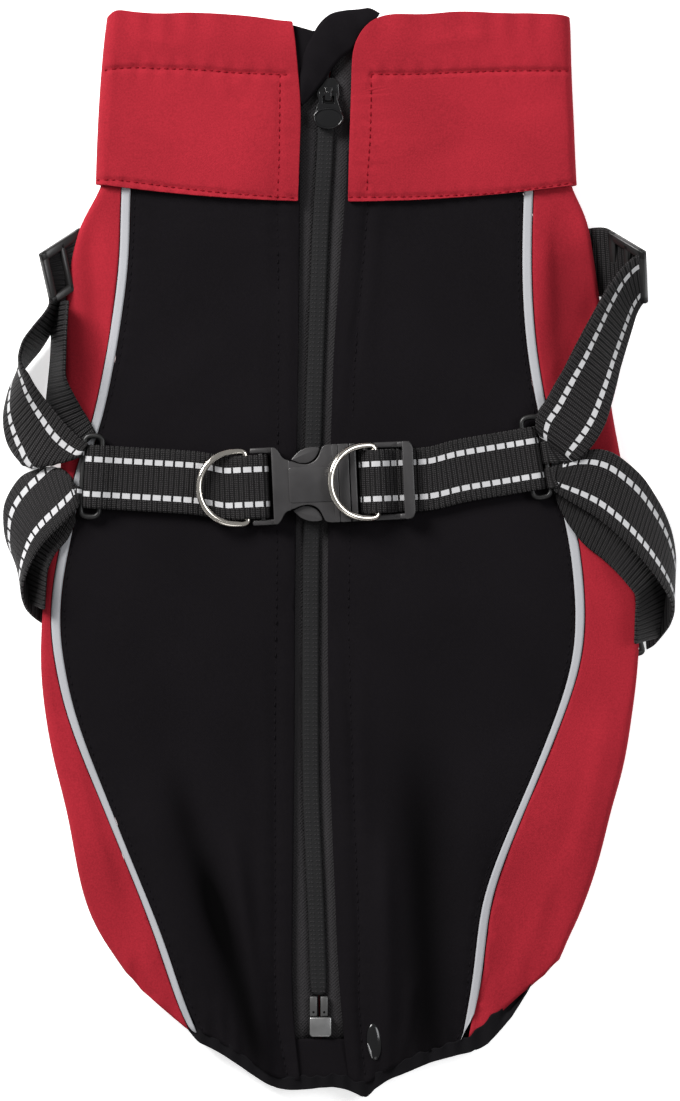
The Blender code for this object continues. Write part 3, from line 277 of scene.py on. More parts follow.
def cloth_copy(cad_name, levels, crease):
    """A finer mesh of a cloth solid: its triangles merged, its rims kept and its face rounded."""
    form = copied(cad_name)
    bmesh.ops.join_triangles(form, faces=form.faces, angle_face_threshold=RIM_ANGLE,
                             angle_shape_threshold=1.6)
    hard = form.edges.layers.float.new("crease_edge")
    for edge in form.edges:
        if len(edge.link_faces) == 2 and edge.calc_face_angle(0.0) > RIM_ANGLE:
            edge[hard] = crease
    mesh = bpy.data.meshes.new(cad_name + "_cloth")
    form.to_mesh(mesh)
    form.free()
    rough = put(cad_name + "_rough", mesh)
    finer = rough.modifiers.new("finer", "SUBSURF")
    finer.levels = finer.render_levels = levels
    bpy.context.view_layer.update()
    ready = rough.evaluated_get(bpy.context.evaluated_depsgraph_get())
    fine = bpy.data.meshes.new_from_object(ready)
    fine.name = cad_name + "_cloth"
    bpy.data.objects.remove(rough, do_unlink=True)
    bpy.data.meshes.remove(mesh)
    return fine


def smooth(low, high, value):
    t = np.clip((value - low) / (high - low), 0.0, 1.0)
    return t * t * (3 - 2 * t)


def hump(x, middle, width):
    return np.exp(-(((x - middle) / width) ** 2))


def crease_line(x, y, x1, y1, x2, y2, depth, width):
    """A soft trough or ridge along a line, fading at its ends. Sizes are in millimetres."""
    along = np.array([x2 - x1, y2 - y1], float)
    length = math.hypot(*along)
    t = ((x - x1) * along[0] + (y - y1) * along[1]) / length**2
    off = np.abs((x - x1) * along[1] - (y - y1) * along[0]) / length
    ends = smooth(-0.12, 0.28, t) * (1 - smooth(0.72, 1.12, t))
    return depth * ends * hump(off, 0.0, width)


def from_route(x, y, route):
    """How far points lie from a sewn line, and how far along it."""
    nearest = np.full(np.shape(x), 1e9)
    place = np.zeros(np.shape(x))
    run = 0.0
    for (x1, y1), (x2, y2) in zip(route, route[1:]):
        length = math.hypot(x2 - x1, y2 - y1)
        t = np.clip(((x - x1) * (x2 - x1) + (y - y1) * (y2 - y1)) / length**2, 0.0, 1.0)
        off = np.hypot(x - x1 - t * (x2 - x1), y - y1 - t * (y2 - y1))
        place = np.where(off < nearest, run + t * length, place)
        nearest = np.minimum(off, nearest)
        run += length
    return nearest, place


def sewn(x, y, route, depth=0.35, pucker=0.12, pitch=6.5):
    """The groove that a line of stitches pulls into the cloth, with small puckers beside it."""
    off, place = from_route(x, y, route)
    return (-depth * hump(off, 0.0, 1.1)
            + pucker * np.sin(2 * math.pi * place / pitch + 1.5 * np.sin(place / 23.0))
            * hump(off, 0.0, 4.0))


def hem_wrinkles(x, y):
    """Gathers that run up from the hem's elastic, uneven in length and spacing."""
    rise = y - np.interp(x, HEM_X, HEM_Y)
    reach = 21.0 + 9.0 * np.sin(x / 9.0 + 1.1) + 5.0 * np.sin(x / 3.7)
    fade = np.clip(1 - rise / reach, 0.0, 1.0) ** 1.5
    wave = np.sin(x / 1.7 + 1.8 * np.sin(x / 13.0)) + 0.7 * np.sin(x / 0.93 + 0.8)
    return 0.34 * fade * wave


DEEPEST = 0.9                     # a fold goes no deeper, or the belly would show through


def laid_surface(x, y):
    """The lift of the laid cloth at a point: its creases, its gathers and its slack."""
    lift = hem_wrinkles(x, y)
    for row in CREASES:
        lift = lift + crease_line(x, y, *row)
    lift = lift + 0.16 * np.sin(x / 14.0 + y / 19.0) * np.sin(y / 23.0 - x / 31.0)
    return np.maximum(lift, -DEEPEST)


def points_of(mesh, layer="vertices", kind="co"):
    """A mesh's points, or another layer of its vectors, as three rows of numbers."""
    found = np.empty(len(mesh.vertices) * 3, np.float32)
    getattr(mesh, layer).foreach_get(kind, found)
    return found.reshape(-1, 3).T


def reshape(mesh, move):
    """Moves a mesh's points. move takes x, y, z in millimetres and how far a point faces up,
    from 0 to 1, and gives x, y, z."""
    x, y, z = points_of(mesh).astype(float) / MM
    up = smooth(0.1, 0.6, points_of(mesh, "vertex_normals", "vector")[2])
    points = np.stack(move(x, y, z, up), axis=1) * MM
    mesh.vertices.foreach_set("co", points.astype(np.float32).ravel())
    mesh.update()


DARKEST_PAINTED_SHADE = 0.85                    # the most that painted shade takes from the colour


def paint_fold_shade(mesh, painted_shade):
    """Paints shade into a mesh's folds: how much each point's colour is darkened, from 0 to 1,
    along the given rows.
    """
    x, y, _ = points_of(mesh).astype(float) / MM
    painted_shade_amount = np.clip(sum(crease_line(x, y, *row) for row in painted_shade), 0.0, DARKEST_PAINTED_SHADE)
    mesh.attributes.new("painted_shade_amount", "FLOAT", "POINT").data.foreach_set(
        "value", painted_shade_amount.astype(np.float32))


def show(name, mesh, *looks, body="coat", slot="black_softshell", replaced=()):
    """Puts a finished mesh in the scene, riding on its body in place of its solid."""
    piece = put(name, mesh)
    mesh.materials.clear()
    for look in looks:
        mesh.materials.append(look)
    mesh.shade_smooth()
    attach(piece, body)
    if replaced:
        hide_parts(*replaced)
    return piece


def cloth_piece(cad_name, name, look, levels, move=None, crease=0.7, slot="black_softshell",
                painted_shade=()):
    """Dresses a cloth solid: a finer copy, moved into its folds, in place of the solid, with
    painted shade along the given rows.
    """
    mesh = cloth_copy(cad_name, levels, crease)
    if move:
        reshape(mesh, move)
    if painted_shade:
        paint_fold_shade(mesh, painted_shade)
    return show(name, mesh, look, slot=slot, replaced=(cad_name,))


def smooth_rows(rows, steps):
    """Rows of numbers on a smooth line through a few rows."""
    filled = []
    for n in range(len(rows) - 1):
        before = rows[max(n - 1, 0)]
        after = rows[min(n + 2, len(rows) - 1)]
        for k in range(steps):
            t = k / steps
            filled.append([
                0.5 * (2 * b + (c - a) * t + (2 * a - 5 * b + 4 * c - d) * t**2
                       + (3 * b - a - 3 * c + d) * t**3)
                for a, b, c, d in zip(before, rows[n], rows[n + 1], after)])
    filled.append(list(rows[-1]))
    return filled


ABOVE_ALL = 0.06                  # higher than every piece, in metres


def surface_of(mesh):
    """Finds the height of a mesh's upper face at x, y, in millimetres."""
    tree = BVHTree.FromPolygons([v.co for v in mesh.vertices],
                                [p.vertices for p in mesh.polygons])

    def height(x, y):
        hit = tree.ray_cast(Vector((x * MM, y * MM, ABOVE_ALL)), Vector((0.0, 0.0, -1.0)))
        return None if hit[0] is None else hit[0].z / MM
    return height


def finished(form, name):
    mesh = bpy.data.meshes.new(name)
    form.to_mesh(mesh)
    form.free()
    return mesh


def lay(form, verts, size=(1.0, 1.0, 1.0), turns=(), at=(0.0, 0.0, 0.0)):
    """Scales points, turns them by each angle and axis given, and moves them by millimetres."""
    bmesh.ops.scale(form, verts=verts, vec=size)
    for angle, axis in turns:
        bmesh.ops.rotate(form, verts=verts, matrix=Matrix.Rotation(angle, 3, axis))
    bmesh.ops.translate(form, verts=verts, vec=[distance * MM for distance in at])


def stitches(name, routes, height, look, slot, pitch=3.2, length=2.3, thread=0.62, sink=0.05):
    """Rows of machine stitches: each shows as a short thread that dips in at both ends."""
    form = bmesh.new()
    for route in routes:
        line = [Vector(p) for p in smooth_rows([list(p) for p in route], 6)]
        run = 0.0
        for a, b in zip(line, line[1:]):
            piece = (b - a).length
            while run < piece:
                spot = a.lerp(b, run / piece)
                z = height(spot.x, spot.y)
                run += pitch
                if z is None:
                    continue
                bead = bmesh.ops.create_icosphere(form, subdivisions=1, radius=0.5)["verts"]
                lay(form, bead, (length * MM, thread * MM, thread * MM),
                      [(math.atan2(b.y - a.y, b.x - a.x), "Z")], (spot.x, spot.y, z - sink))
            run -= piece
    return show(name, finished(form, name), look, slot=slot)


ROW_REACH = 6.0                   # in y, the points of one row of the solid lie within this
PIPING_POINTS = 48


def piping_line(name):
    """The middle of a piping strip, read from its solid's box rows."""
    rows = {}
    for vert in node[name].data.vertices:
        x, y = vert.co.x / MM, vert.co.y / MM
        rows.setdefault(round(y / ROW_REACH), []).append((x, y))
    x, y = np.array([(sum(x for x, _ in row) / len(row), sum(y for _, y in row) / len(row))
                     for _, row in sorted(rows.items(), reverse=True) if len(row) > 3]).T
    curve = np.polynomial.Polynomial.fit(y, x, 9)
    return [(float(curve(at)), float(at)) for at in np.linspace(y[0], y[-1], PIPING_POINTS)]


PIPING_STITCH_OFFSET = 3.4
PLACKET_SWELL = 0.5               # how far the folded placket swells beside its stitches
for side, inward, placket in zip(("left", "right"), (1, -1), PLACKET_STITCHES):
    piping_route = [(x + inward * PIPING_STITCH_OFFSET, y)
                    for x, y in piping_line(f"piping_{side}")]
    back = cloth_piece(
        f"back_{side}_panel", f"back_{side}_cloth", black_softshell, levels=3,
        move=lambda x, y, z, up: (x, y, z + up * (
            laid_surface(x, y) + sewn(x, y, placket) + sewn(x, y, piping_route, 0.25, 0.1)
            + PLACKET_SWELL * hump(from_route(x, y, placket)[0], 4.0, 3.0))), painted_shade=BLACK_PAINTED_FOLD_SHADE)
    seams = stitches(f"back_{side}_stitches", (placket, piping_route), surface_of(back.data),
                     black_thread, "black_softshell")

# ------------------------------------------------------------------ red side panels and belly
# Red softshell panels that fold round the coat's edge, and the belly panel with its leg holes.
# Their seams lie under the piping above and are plain lapped seams below.
RED_SOFTSHELL = (0.292, 0.0162, 0.0262)
# Painted shade on the right red side, in its folds and where the straps shade it: from x, y to x,
# y, how dark, and half its width
RED_PAINTED_FOLD_SHADE = ((84.5, 86, 85, 24, 0.42, 6.5), (96, 84, 96, 44, 0.36, 6))
red_softshell = woven("red_softshell", RED_SOFTSHELL, 0.85, cloudiness=0.6, relief=0.6,
                      sheen=0.04, sheen_tone=(1.0, 0.45, 0.5), painted_shade=True)
# Where the red cloth hangs over the binding at the hem's two ends: x, how far down
RED_OVER_BINDING = (
    (-90, 0), (-83.7, 0.5), (-80, 3), (-77, 4.9), (-70.4, 5.4), (-66, 5.4),
    (-62, 4.6), (-58, 2.6), (-54, 1), (50, 0), (54, 1.2), (59.5, 1.6), (63, 1.8),
    (67.3, 3), (70.4, 3.6), (74, 4.4), (80, 4.4), (86, 1.6), (90, 0),
)
# How far the seam beside the red cloth leans for each millimetre down, and how far the red
# cloth laps it at its foot
SEAM_LEAN = {"left": 0.34, "right": -0.2}
SEAM_LAP = {"left": 0.0, "right": 1.2}


def red_reach(x, y):
    """How far the sides' red cloth runs down over the hem's binding."""
    rise = y - np.interp(x, HEM_X, HEM_Y)
    return np.interp(x, *zip(*RED_OVER_BINDING)) * (1 - smooth(0.0, 14.0, rise))


for side in ("left", "right"):
    seam = piping_line(f"piping_{side}")
    red_side = cloth_piece(
        f"side_{side}_panel", f"side_{side}_cloth", red_softshell, levels=2,
        move=lambda x, y, z, up: (
            x + (SEAM_LEAN[side] * red_reach(x, y) - SEAM_LAP[side] * smooth(-204.0, -222.0, y))
            * (1 - smooth(2.0, 8.0, from_route(x, y, seam)[0])),
            y - red_reach(x, y),
            z + (laid_surface(x, y) + 0.14 * np.sin(y / 9.0 + x / 15.0)) * up
            * smooth(2.5, 5.0, z)), slot="red_softshell", painted_shade=RED_PAINTED_FOLD_SHADE)
belly_cloth = cloth_piece("belly_panel", "belly_cloth", red_softshell, levels=1, crease=0.9,
                          slot="red_softshell")

# ------------------------------------------------------------------ reflective piping
# A flat strip of pale grey reflective tape, folded double and caught in the seam between the
# black and the red panels.
PIPING_GREY = (0.375, 0.38, 0.40)
PIPING_LIFT = 0.4                 # how much prouder it stands than its solid
# The edges of each strip's foot, where it narrows into the hem: y, least x, greatest x
PIPING_FOOT = {"left": ((-234, -64, -52.4), (-228, -66, -54.8), (-221, -70, -57.9),
                        (-207, -80, -61.4), (-190, -90, -60)),
               "right": ((-234, 44.6, 45.8), (-228, 46.8, 48.6), (-221, 49.4, 52.4),
                         (-207, 51.4, 55.6), (-190, 50, 66))}
piping_grey = woven("piping_grey", PIPING_GREY, 0.5, cloudiness=0.1, relief=0.15)
for side in ("left", "right"):
    foot_y, foot_low, foot_high = zip(*PIPING_FOOT[side])
    piping = cloth_piece(
        f"piping_{side}", f"piping_{side}_strip", piping_grey, levels=2,
        move=lambda x, y, z, up: (
            np.where(y < foot_y[-1], np.clip(x + SEAM_LEAN[side] * red_reach(x, y),
                                             np.interp(y - red_reach(x, y), foot_y, foot_low),
                                             np.interp(y - red_reach(x, y), foot_y, foot_high)),
                     x),
            y - red_reach(x, y), z + laid_surface(x, y) + PIPING_LIFT * up),
        crease=0.45, slot="reflective_piping")

# ------------------------------------------------------------------ hem binding
# A band of black elastic, stretched while it is folded over the hem and stitched down, so that
# it gathers the cloth above it. At the sides it lies under the ends of the red panels.
HEM_BLACK = (0.0075, 0.007, 0.008)
hem_black = woven("hem_black", HEM_BLACK, 0.8, yarns=2000.0, relief=0.5)
# How far the band hangs below the panels at the right, where the elastic is slack: x, drop
BAND_DROP = ((46, 0), (53, 0.9), (58, 2.6), (63, 3.2), (67.3, 3.5), (70.4, 2.4),
             (74, 0.6), (78, 0))


def hem_band(x, y, z, lap):
    """The binding's inner edge is drawn up over the panels' ends, but at the sides it is under.
    lap is how much farther it reaches behind the two seams' feet."""
    top = np.interp(x, HEM_X, HEM_Y)
    low = np.interp(x, HEM_X, BINDING_Y)
    inner = np.clip((y - low) / np.maximum(top - low, 0.5), 0.0, 1.0)
    shown = smooth(-61.0, -54.0, x) * (1 - smooth(73.0, 78.0, x))
    wide = smooth(-54.0, -42.0, x) * (1 - smooth(60.0, 71.0, x))
    ripple = 0.3 * np.sin(x / 1.15 + 1.2 * np.sin(x / 7.0))
    drawn = inner * (2.6 + 1.1 * np.sin(x / 2.9) * np.sin(x / 1.3)) * wide
    drawn = drawn + inner * (2.6 * hump(x, 56.0, 6.5) + 3.4 * hump(x, -55.5, 5.0))
    drawn = drawn + lap * inner * (hump(x, -58.5, 6.0) + hump(x, 53.0, 5.0))
    tip = 1.3 * hump(x, 10.0, 2.2) * (1 - inner)
    drop = np.interp(x, *zip(*BAND_DROP)) * (1 - 0.6 * inner)
    hidden = np.maximum(1 - shown, smooth(62.0, 67.0, x) * smooth(0.1, 0.45, inner))
    return (x, y + drawn - tip - drop + 2.2 * (1 - shown) * (1 - inner),
            z + (0.75 * inner**2 * wide + ripple) * smooth(4.0, 5.0, z)
            - 2.6 * hidden * smooth(2.0, 4.0, z))


for part, lap in (("upper", 0.0), ("under", 11.0)):
    elastic = cloth_piece(f"hem_binding_{part}", f"hem_{part}_elastic", hem_black, levels=3,
                          move=lambda x, y, z, up: hem_band(x, y, z, lap), crease=0.5)

# ------------------------------------------------------------------ collar
# A standing collar of two plies of red softshell, laid flat, with a channel stitched round its
# top for the elastic. It is topstitched along the zip and along its lower edge.
RED_THREAD = (0.185, 0.006, 0.012)
red_thread = woven("red_thread", RED_THREAD, 0.8, relief=0.0)
COLLAR_STITCHES = {
    "left": (((-90.7, 147.6), (-89.1, 147.8), (-79.8, 148.4), (-70, 148), (-55.4, 147.6),
              (-40.8, 146.4), (-31, 146), (-20.9, 145.6)),
             ((-23.2, 144.7), (-23.4, 126.1), (-23.6, 111.5), (-24.2, 97.6)),
             ((-93.8, 104.7), (-86.6, 104.5), (-79.8, 103.7), (-60.3, 101.2), (-40.8, 99.2),
              (-21.3, 97.9), (-17, 97.4))),
    "right": (((12.9, 145.8), (28.5, 145.8), (48, 146.6), (67.5, 147.2), (90.3, 147.2)),
              ((12.3, 144.7), (12.3, 135.9), (11.9, 121.3), (10.9, 106.6), (10.7, 98.6)),
              ((4.4, 97.9), (28.5, 98.1), (57.7, 99.3), (77.2, 101.4), (91.6, 103.7))),
}
COLLAR_CREASES = (
    (-44, 139, -36, 134, -0.5, 2.2), (32, 112, 50, 119, -0.35, 4),
    (-80, 160, -60, 156, 0.4, 3), (30, 158, 60, 161, 0.4, 3),
    (60, 130, 84, 136, -0.3, 5), (-86, 126, -60, 120, 0.3, 5),
)
COLLAR_TOP = 169.5


def collar_surface(x, y, z, side):
    """The collar above its channel's stitches is puckered, and both its parts swell a little."""
    channel, upright, lower = COLLAR_STITCHES[side]
    above = smooth(147.0, 150.0, y)
    puckers = 0.28 * np.sin(x / 1.9 + 2.0 * np.sin(x / 11.0)) * above * smooth(
        152.0, COLLAR_TOP, y)
    swell = 0.8 * np.clip(1 - ((y - 158.5) / 12.0) ** 2, 0.0, 1.0)
    panel = 0.4 * np.clip(1 - ((y - 122.0) / 24.0) ** 2, 0.0, 1.0)
    lift = puckers + swell + panel + 0.16 * np.sin(x / 8.0 + y / 9.0) * np.sin(y / 6.0 - x / 21.0)
    lift = lift + sewn(x, y, channel, 0.7, 0.22, 7.5) + sewn(x, y, upright, 0.4, 0.12)
    lift = lift + sewn(x, y, lower, 0.55, 0.2)
    for row in COLLAR_CREASES:
        lift = lift + crease_line(x, y, *row)
    return x, y, z + lift * smooth(5.4, 8.2, z)


for side in ("left", "right"):
    collar = cloth_piece(f"collar_{side}", f"collar_{side}_cloth", red_softshell, levels=4,
                         move=lambda x, y, z, up: collar_surface(x, y, z, side),
                         slot="red_softshell")
    seams = stitches(f"collar_{side}_stitches", COLLAR_STITCHES[side], surface_of(collar.data),
                     red_thread, "red_softshell", pitch=2.9, length=2.2, thread=0.75)
THROAT_WIDENING = 1.02
THROAT_DIP = 7.0                  # how far its rim dips behind the zip
throat_cloth = cloth_piece(
    "collar_throat", "collar_throat_cloth", red_softshell, levels=1, move=lambda x, y, z, up: (
        x * THROAT_WIDENING, y - THROAT_DIP * smooth(120.0, 166.0, y) * hump(x, -4.0, 14.0), z),
    crease=0.9, slot="red_softshell")

# ------------------------------------------------------------------ zip
# A coil zip on black woven tape, sewn under the folded edges of the back panels. Its face is
# the tape's, with the coil's chain stitches showing as two rows of chevrons.
TAPE_BLACK = (0.0310, 0.0295, 0.0310)
zip_tape = woven("zip_tape", TAPE_BLACK, 0.8, yarns=1500.0, cloudiness=0.4, relief=1.0,
                 depth=0.0003)
tape_thread = woven("tape_thread", (0.027, 0.026, 0.027), 0.6, cloudiness=0.4, relief=0.2)
coil_shadow = woven("coil_shadow", (0.0175, 0.0175, 0.018), 0.8, cloudiness=0.4)
for side in ("left", "right"):
    tape_cloth = cloth_piece(f"zip_tape_{side}", f"zip_tape_{side}_cloth", zip_tape, levels=1,
                             crease=1.0, slot="zip_tape")
chain_cloth = cloth_piece("zip_chain", "zip_chain_cloth", coil_shadow, levels=2, crease=0.3,
                          slot="dark_metal")
chain_height = surface_of(chain_cloth.data)
CHAIN = ((132.5, -4.7), (107, -6), (97, -6.8), (74, -7.8), (34, -9.3), (-8.5, -10.5),
         (-51.5, -11.1), (-132, -11.1), (-178, -9.2), (-213.5, -8.1))    # y, x
CHAIN_TOP, TOOTH_PITCH = 7.4, 1.7
STRAND_SIZE = (1.5, 0.62, 0.5)
STRANDS = ((1.0, 0.55), (2.15, -0.55))       # how far each is from the middle, its slant
STRANDS_TOP, STRANDS_FOOT = 131.5, -212.5
chain_y, chain_x = zip(*CHAIN)
chevrons = bmesh.new()
y = STRANDS_TOP
while y > STRANDS_FOOT:
    x = float(np.interp(y, chain_y[::-1], chain_x[::-1]))
    for side in (-1, 1):
        for middle, slant in STRANDS:
            z = chain_height(x + side * middle, y) or CHAIN_TOP
            strand = bmesh.ops.create_icosphere(chevrons, subdivisions=1, radius=0.5)["verts"]
            lay(chevrons, strand, [s * MM for s in STRAND_SIZE], [(side * slant, "Z")],
                  (x + side * middle, y, z - 0.05))
    y -= TOOTH_PITCH
show("zip_chevrons", finished(chevrons, "zip_chevrons"), tape_thread, slot="zip_tape")


def rounded(form, edges, radius, segments):
    bmesh.ops.bevel(form, geom=list(edges), offset=radius, segments=segments, profile=0.5,
                    affect="EDGES", material=-1, clamp_overlap=True)


def hard_copy(cad_name, bevel, segments=2):
    """A moulded or cast piece: a copy of its solid with flat faces joined and edges rounded."""
    form = copied(cad_name)
    bmesh.ops.dissolve_limit(form, angle_limit=FLAT_ANGLE, verts=form.verts, edges=form.edges)
    sharp = [e for e in form.edges if len(e.link_faces) == 2 and e.calc_face_angle(0.0) > 0.5]
    rounded(form, sharp, bevel * MM, segments)
    return form


def hard_piece(cad_name, ending, form, look, slot="dark_metal", body="coat"):
    show(f"{cad_name}_{ending}", finished(form, cad_name), look, body=body, slot=slot,
         replaced=(cad_name,))


def moulded(form, outline, low, high, bevel, segments=3):
    """Adds a flat piece to a form: an outline in millimetres, raised and rounded."""
    corners = [form.verts.new((x * MM, y * MM, low * MM)) for x, y in outline]
    base = form.faces.new(corners)
    raised = bmesh.ops.extrude_face_region(form, geom=[base])["geom"]
    upper = [v for v in raised if isinstance(v, bmesh.types.BMVert)]
    bmesh.ops.translate(form, verts=upper, vec=(0.0, 0.0, (high - low) * MM))
    faces = {f for vert in corners + upper for f in vert.link_faces}
    bmesh.ops.recalc_face_normals(form, faces=list(faces))
    edges = {e for f in faces for e in f.edges if e.calc_face_angle(0.0) > RIM_ANGLE}
    rounded(form, edges, bevel * MM, segments)


def cylinder(form, radius, length):
    return bmesh.ops.create_cone(form, cap_ends=True, segments=16, radius1=radius * MM,
                                 radius2=radius * MM, depth=length * MM)["verts"]


def both_sides(half):
    """An outline closed by its mirror image across the x axis."""
    return [*half, *[(x, -y) for x, y in reversed(half)]]


def oval(x, y, half_width, half_height, count=36):
    return [(x + half_width * math.cos(2 * math.pi * n / count),
             y + half_height * math.sin(2 * math.pi * n / count)) for n in range(count)]


# Wear and grain of moulded or enamelled pieces: a fine grain, and a little dust in patches.
moulded_grain = bpy.data.node_groups.new("moulded_grain", "ShaderNodeTree")
grain_in, grain_out = group_sockets(
    moulded_grain,
    (("Place", "NodeSocketVector", None), ("Colour", "NodeSocketColor", (0.03, 0.03, 0.03, 1.0)),
     ("Roughness", "NodeSocketFloat", 0.4), ("Variation", "NodeSocketFloat", 0.2)),
    (("Colour", "NodeSocketColor"), ("Roughness", "NodeSocketFloat"),
     ("Height", "NodeSocketFloat")))
tree = moulded_grain
link = tree.links.new
calc = partial(math_node, tree)
grain_place = grain_in.outputs["Place"]
patches = calc("SUBTRACT", noise_node(tree, grain_place, 160.0, 4.0), 0.5)
varied = calc("MULTIPLY_ADD", patches, grain_in.outputs["Variation"], 1.0)
link(scaled(tree, grain_in.outputs["Colour"], varied), grain_out.inputs["Colour"])
link(calc("MULTIPLY", varied, grain_in.outputs["Roughness"]), grain_out.inputs["Roughness"])
link(noise_node(tree, grain_place, 3000.0, 3.0), grain_out.inputs["Height"])


def grained(name, colour, roughness, metallic=0.0, variation=0.4, relief=0.12):
    made, shader, finish = grouped(
        name, moulded_grain, relief, 0.0001,
        {"Colour": (*colour, 1.0), "Roughness": roughness, "Variation": variation},
        {"Base Color": (*colour, 1.0), "Roughness": roughness, "Metallic": metallic})
    made.node_tree.links.new(finish.outputs["Roughness"], shader.inputs["Roughness"])
    return made


black_enamel = grained("black_enamel", (0.005, 0.005, 0.0055), 0.14, variation=0.3, relief=0.04)
pin_metal = grained("pin_metal", (0.10, 0.10, 0.10), 0.42, 0.6)
box_metal = grained("box_metal", (0.30, 0.30, 0.30), 0.36, 0.9)
# Near-black for the pins' holes: painted shade
hole_painted_shade = woven("hole_painted_shade", (0.004, 0.004, 0.004), 0.9, cloudiness=0.3, relief=0.1)
slider = hard_copy("zip_slider", bevel=0.3)
lay(slider, cylinder(slider, radius=0.55, length=1.8), turns=[(math.pi / 2, "Y"), (0.1, "Z")],
      at=(-4.6, 138.6, 12.1))
hard_piece("zip_slider", "cast", slider, black_enamel)

# The pull tab hangs on the slider's crown and ends in an oval paddle with a raised rim.
PULL_MIDDLE = (-4.38, 128.6)
PULL_TOP = 11.15
RIM_RADIUS, RIM_FLATNESS, RIM_WIRE = 5.5, 0.7, 0.52
pull = hard_copy("zip_pull", bevel=0.3, segments=3)
moulded(pull, oval(*PULL_MIDDLE, half_width=5.4, half_height=3.6), PULL_TOP - 0.6,
        PULL_TOP + 0.1, bevel=0.1, segments=2)
rim = bmesh.new()
section = bmesh.ops.create_circle(rim, segments=12, radius=RIM_WIRE * MM)["verts"]
lay(rim, section, turns=[(math.pi / 2, "X")], at=(RIM_RADIUS, 0.0, 0.0))
bmesh.ops.spin(rim, geom=rim.verts[:] + rim.edges[:], cent=(0.0, 0.0, 0.0), axis=(0.0, 0.0, 1.0),
               steps=56, angle=2 * math.pi, use_merge=True)
lay(rim, rim.verts, (1.0, RIM_FLATNESS, 1.0), at=(*PULL_MIDDLE, PULL_TOP + 0.1))
bmesh.ops.recalc_face_normals(rim, faces=rim.faces)
show("zip_pull_rim", finished(rim, "zip_pull_rim"), black_enamel, body="pull_tab",
     slot="dark_metal")
hard_piece("zip_pull", "cast", pull, black_enamel, body="pull_tab")

# The pins on the tapes' ends go into the box at the hem. Each has a small hole, drawn as a
# near-black disc of painted shade, not cut.
HOLE_FROM_END = 1.6
for side in ("left", "right"):
    name = f"zip_pin_{side}"
    hard_piece(name, "cast", hard_copy(name, bevel=0.35), pin_metal)
    low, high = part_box(name)
    hole = bmesh.new()
    bmesh.ops.translate(hole, verts=cylinder(hole, radius=0.45, length=0.3), vec=(
        (low[0] + high[0]) / 2, low[1] + HOLE_FROM_END * MM, high[2] - 0.1 * MM))
    show(name + "_hole", finished(hole, name + "_hole"), hole_painted_shade, slot="dark_metal")
hard_piece("zip_box", "cast", hard_copy("zip_box", bevel=0.6, segments=3), box_metal)
FOOT_MIDDLE, FOOT_WIDENING = -7.0, 1.2
foot_cloth = cloth_piece(
    "zip_foot", "zip_foot_cloth", black_softshell, levels=3, move=lambda x, y, z, up: (
        FOOT_MIDDLE + (x - FOOT_MIDDLE) * FOOT_WIDENING,
        y + 2.6 * smooth(-236.0, -228.0, y) - 3.8 * smooth(-236.0, -244.0, y),
        z - 0.25 + 0.5 * np.sin(x / 2.3 + y / 4.0) * smooth(4.0, 5.0, z)), crease=0.5)

# ------------------------------------------------------------------ zip guard
# A strip of black cloth behind the zip's top. It comes up inside the collar, twists over the
# slider, and its end lies on the right half's rim.
GUARD_UPPER = ((15.8, 169.6), (11.9, 171.6), (7.2, 171.2), (1.8, 170.7), (-3.4, 169.4),
               (-7.4, 166.1), (-10.3, 161.6), (-13.1, 156.2), (-15.2, 149.2), (-16.4, 140.6))
GUARD_LOWER = ((14.2, 167), (11.3, 163.9), (7.6, 159.2), (4.9, 155.4), (0.8, 152),
               (-2.5, 148.4), (-5.3, 144.1), (-8.4, 140.2), (-11.5, 136.3), (-14.6, 133.2))


def cloth_strip(rows, columns, thickness, arch):
    """A grid laid through rows of two edge points x, y, z, arched between them."""
    form = bmesh.new()
    bmesh.ops.create_grid(form, x_segments=len(rows) - 1, y_segments=columns, size=1.0)
    for vert in form.verts:
        row = rows[round((vert.co.x + 1) / 2 * (len(rows) - 1))]
        across = (vert.co.y + 1) / 2
        spot = Vector(row[:3]).lerp(Vector(row[3:]), across)
        spot.z += arch * math.sin(math.pi * across)
        vert.co = spot * MM
    bmesh.ops.recalc_face_normals(form, faces=form.faces)
    bmesh.ops.solidify(form, geom=form.faces, thickness=thickness * MM)
    bmesh.ops.recalc_face_normals(form, faces=form.faces)
    return form


GUARD_Z = 9.9
guard_rows = []
for n, ((ux, uy), (lx, ly)) in enumerate(zip(GUARD_UPPER, GUARD_LOWER)):
    z = GUARD_Z - 0.8 * smooth(5.0, 9.0, n)
    guard_rows.append([ux, uy, z, lx, ly, z])
guard = cloth_strip(smooth_rows(guard_rows, 4), columns=10, thickness=0.9, arch=1.1)
guard_mesh = finished(guard, "zip_guard")
reshape(guard_mesh, lambda x, y, z, up: (
    x, y, z + 0.35 * np.sin((x + y) / 2.3) * np.sin((x - y) / 5.0)))
guard_cloth = show("zip_guard_cloth", guard_mesh, black_softshell, replaced=("zip_guard",))
inner_rows = [[-18, 165, 9.3, -6, 161.5, 9.3], [-18, 155, 9, -9, 155, 9],
              [-17.6, 144, 8.6, -12, 144, 8.6], [-16.6, 133.9, 8.4, -14.4, 133.9, 8.4]]
inner = finished(cloth_strip(smooth_rows(inner_rows, 6), columns=6, thickness=0.7, arch=0.3),
                 "zip_guard_inner")
inner_cloth = show("zip_guard_inner_cloth", inner, black_softshell)

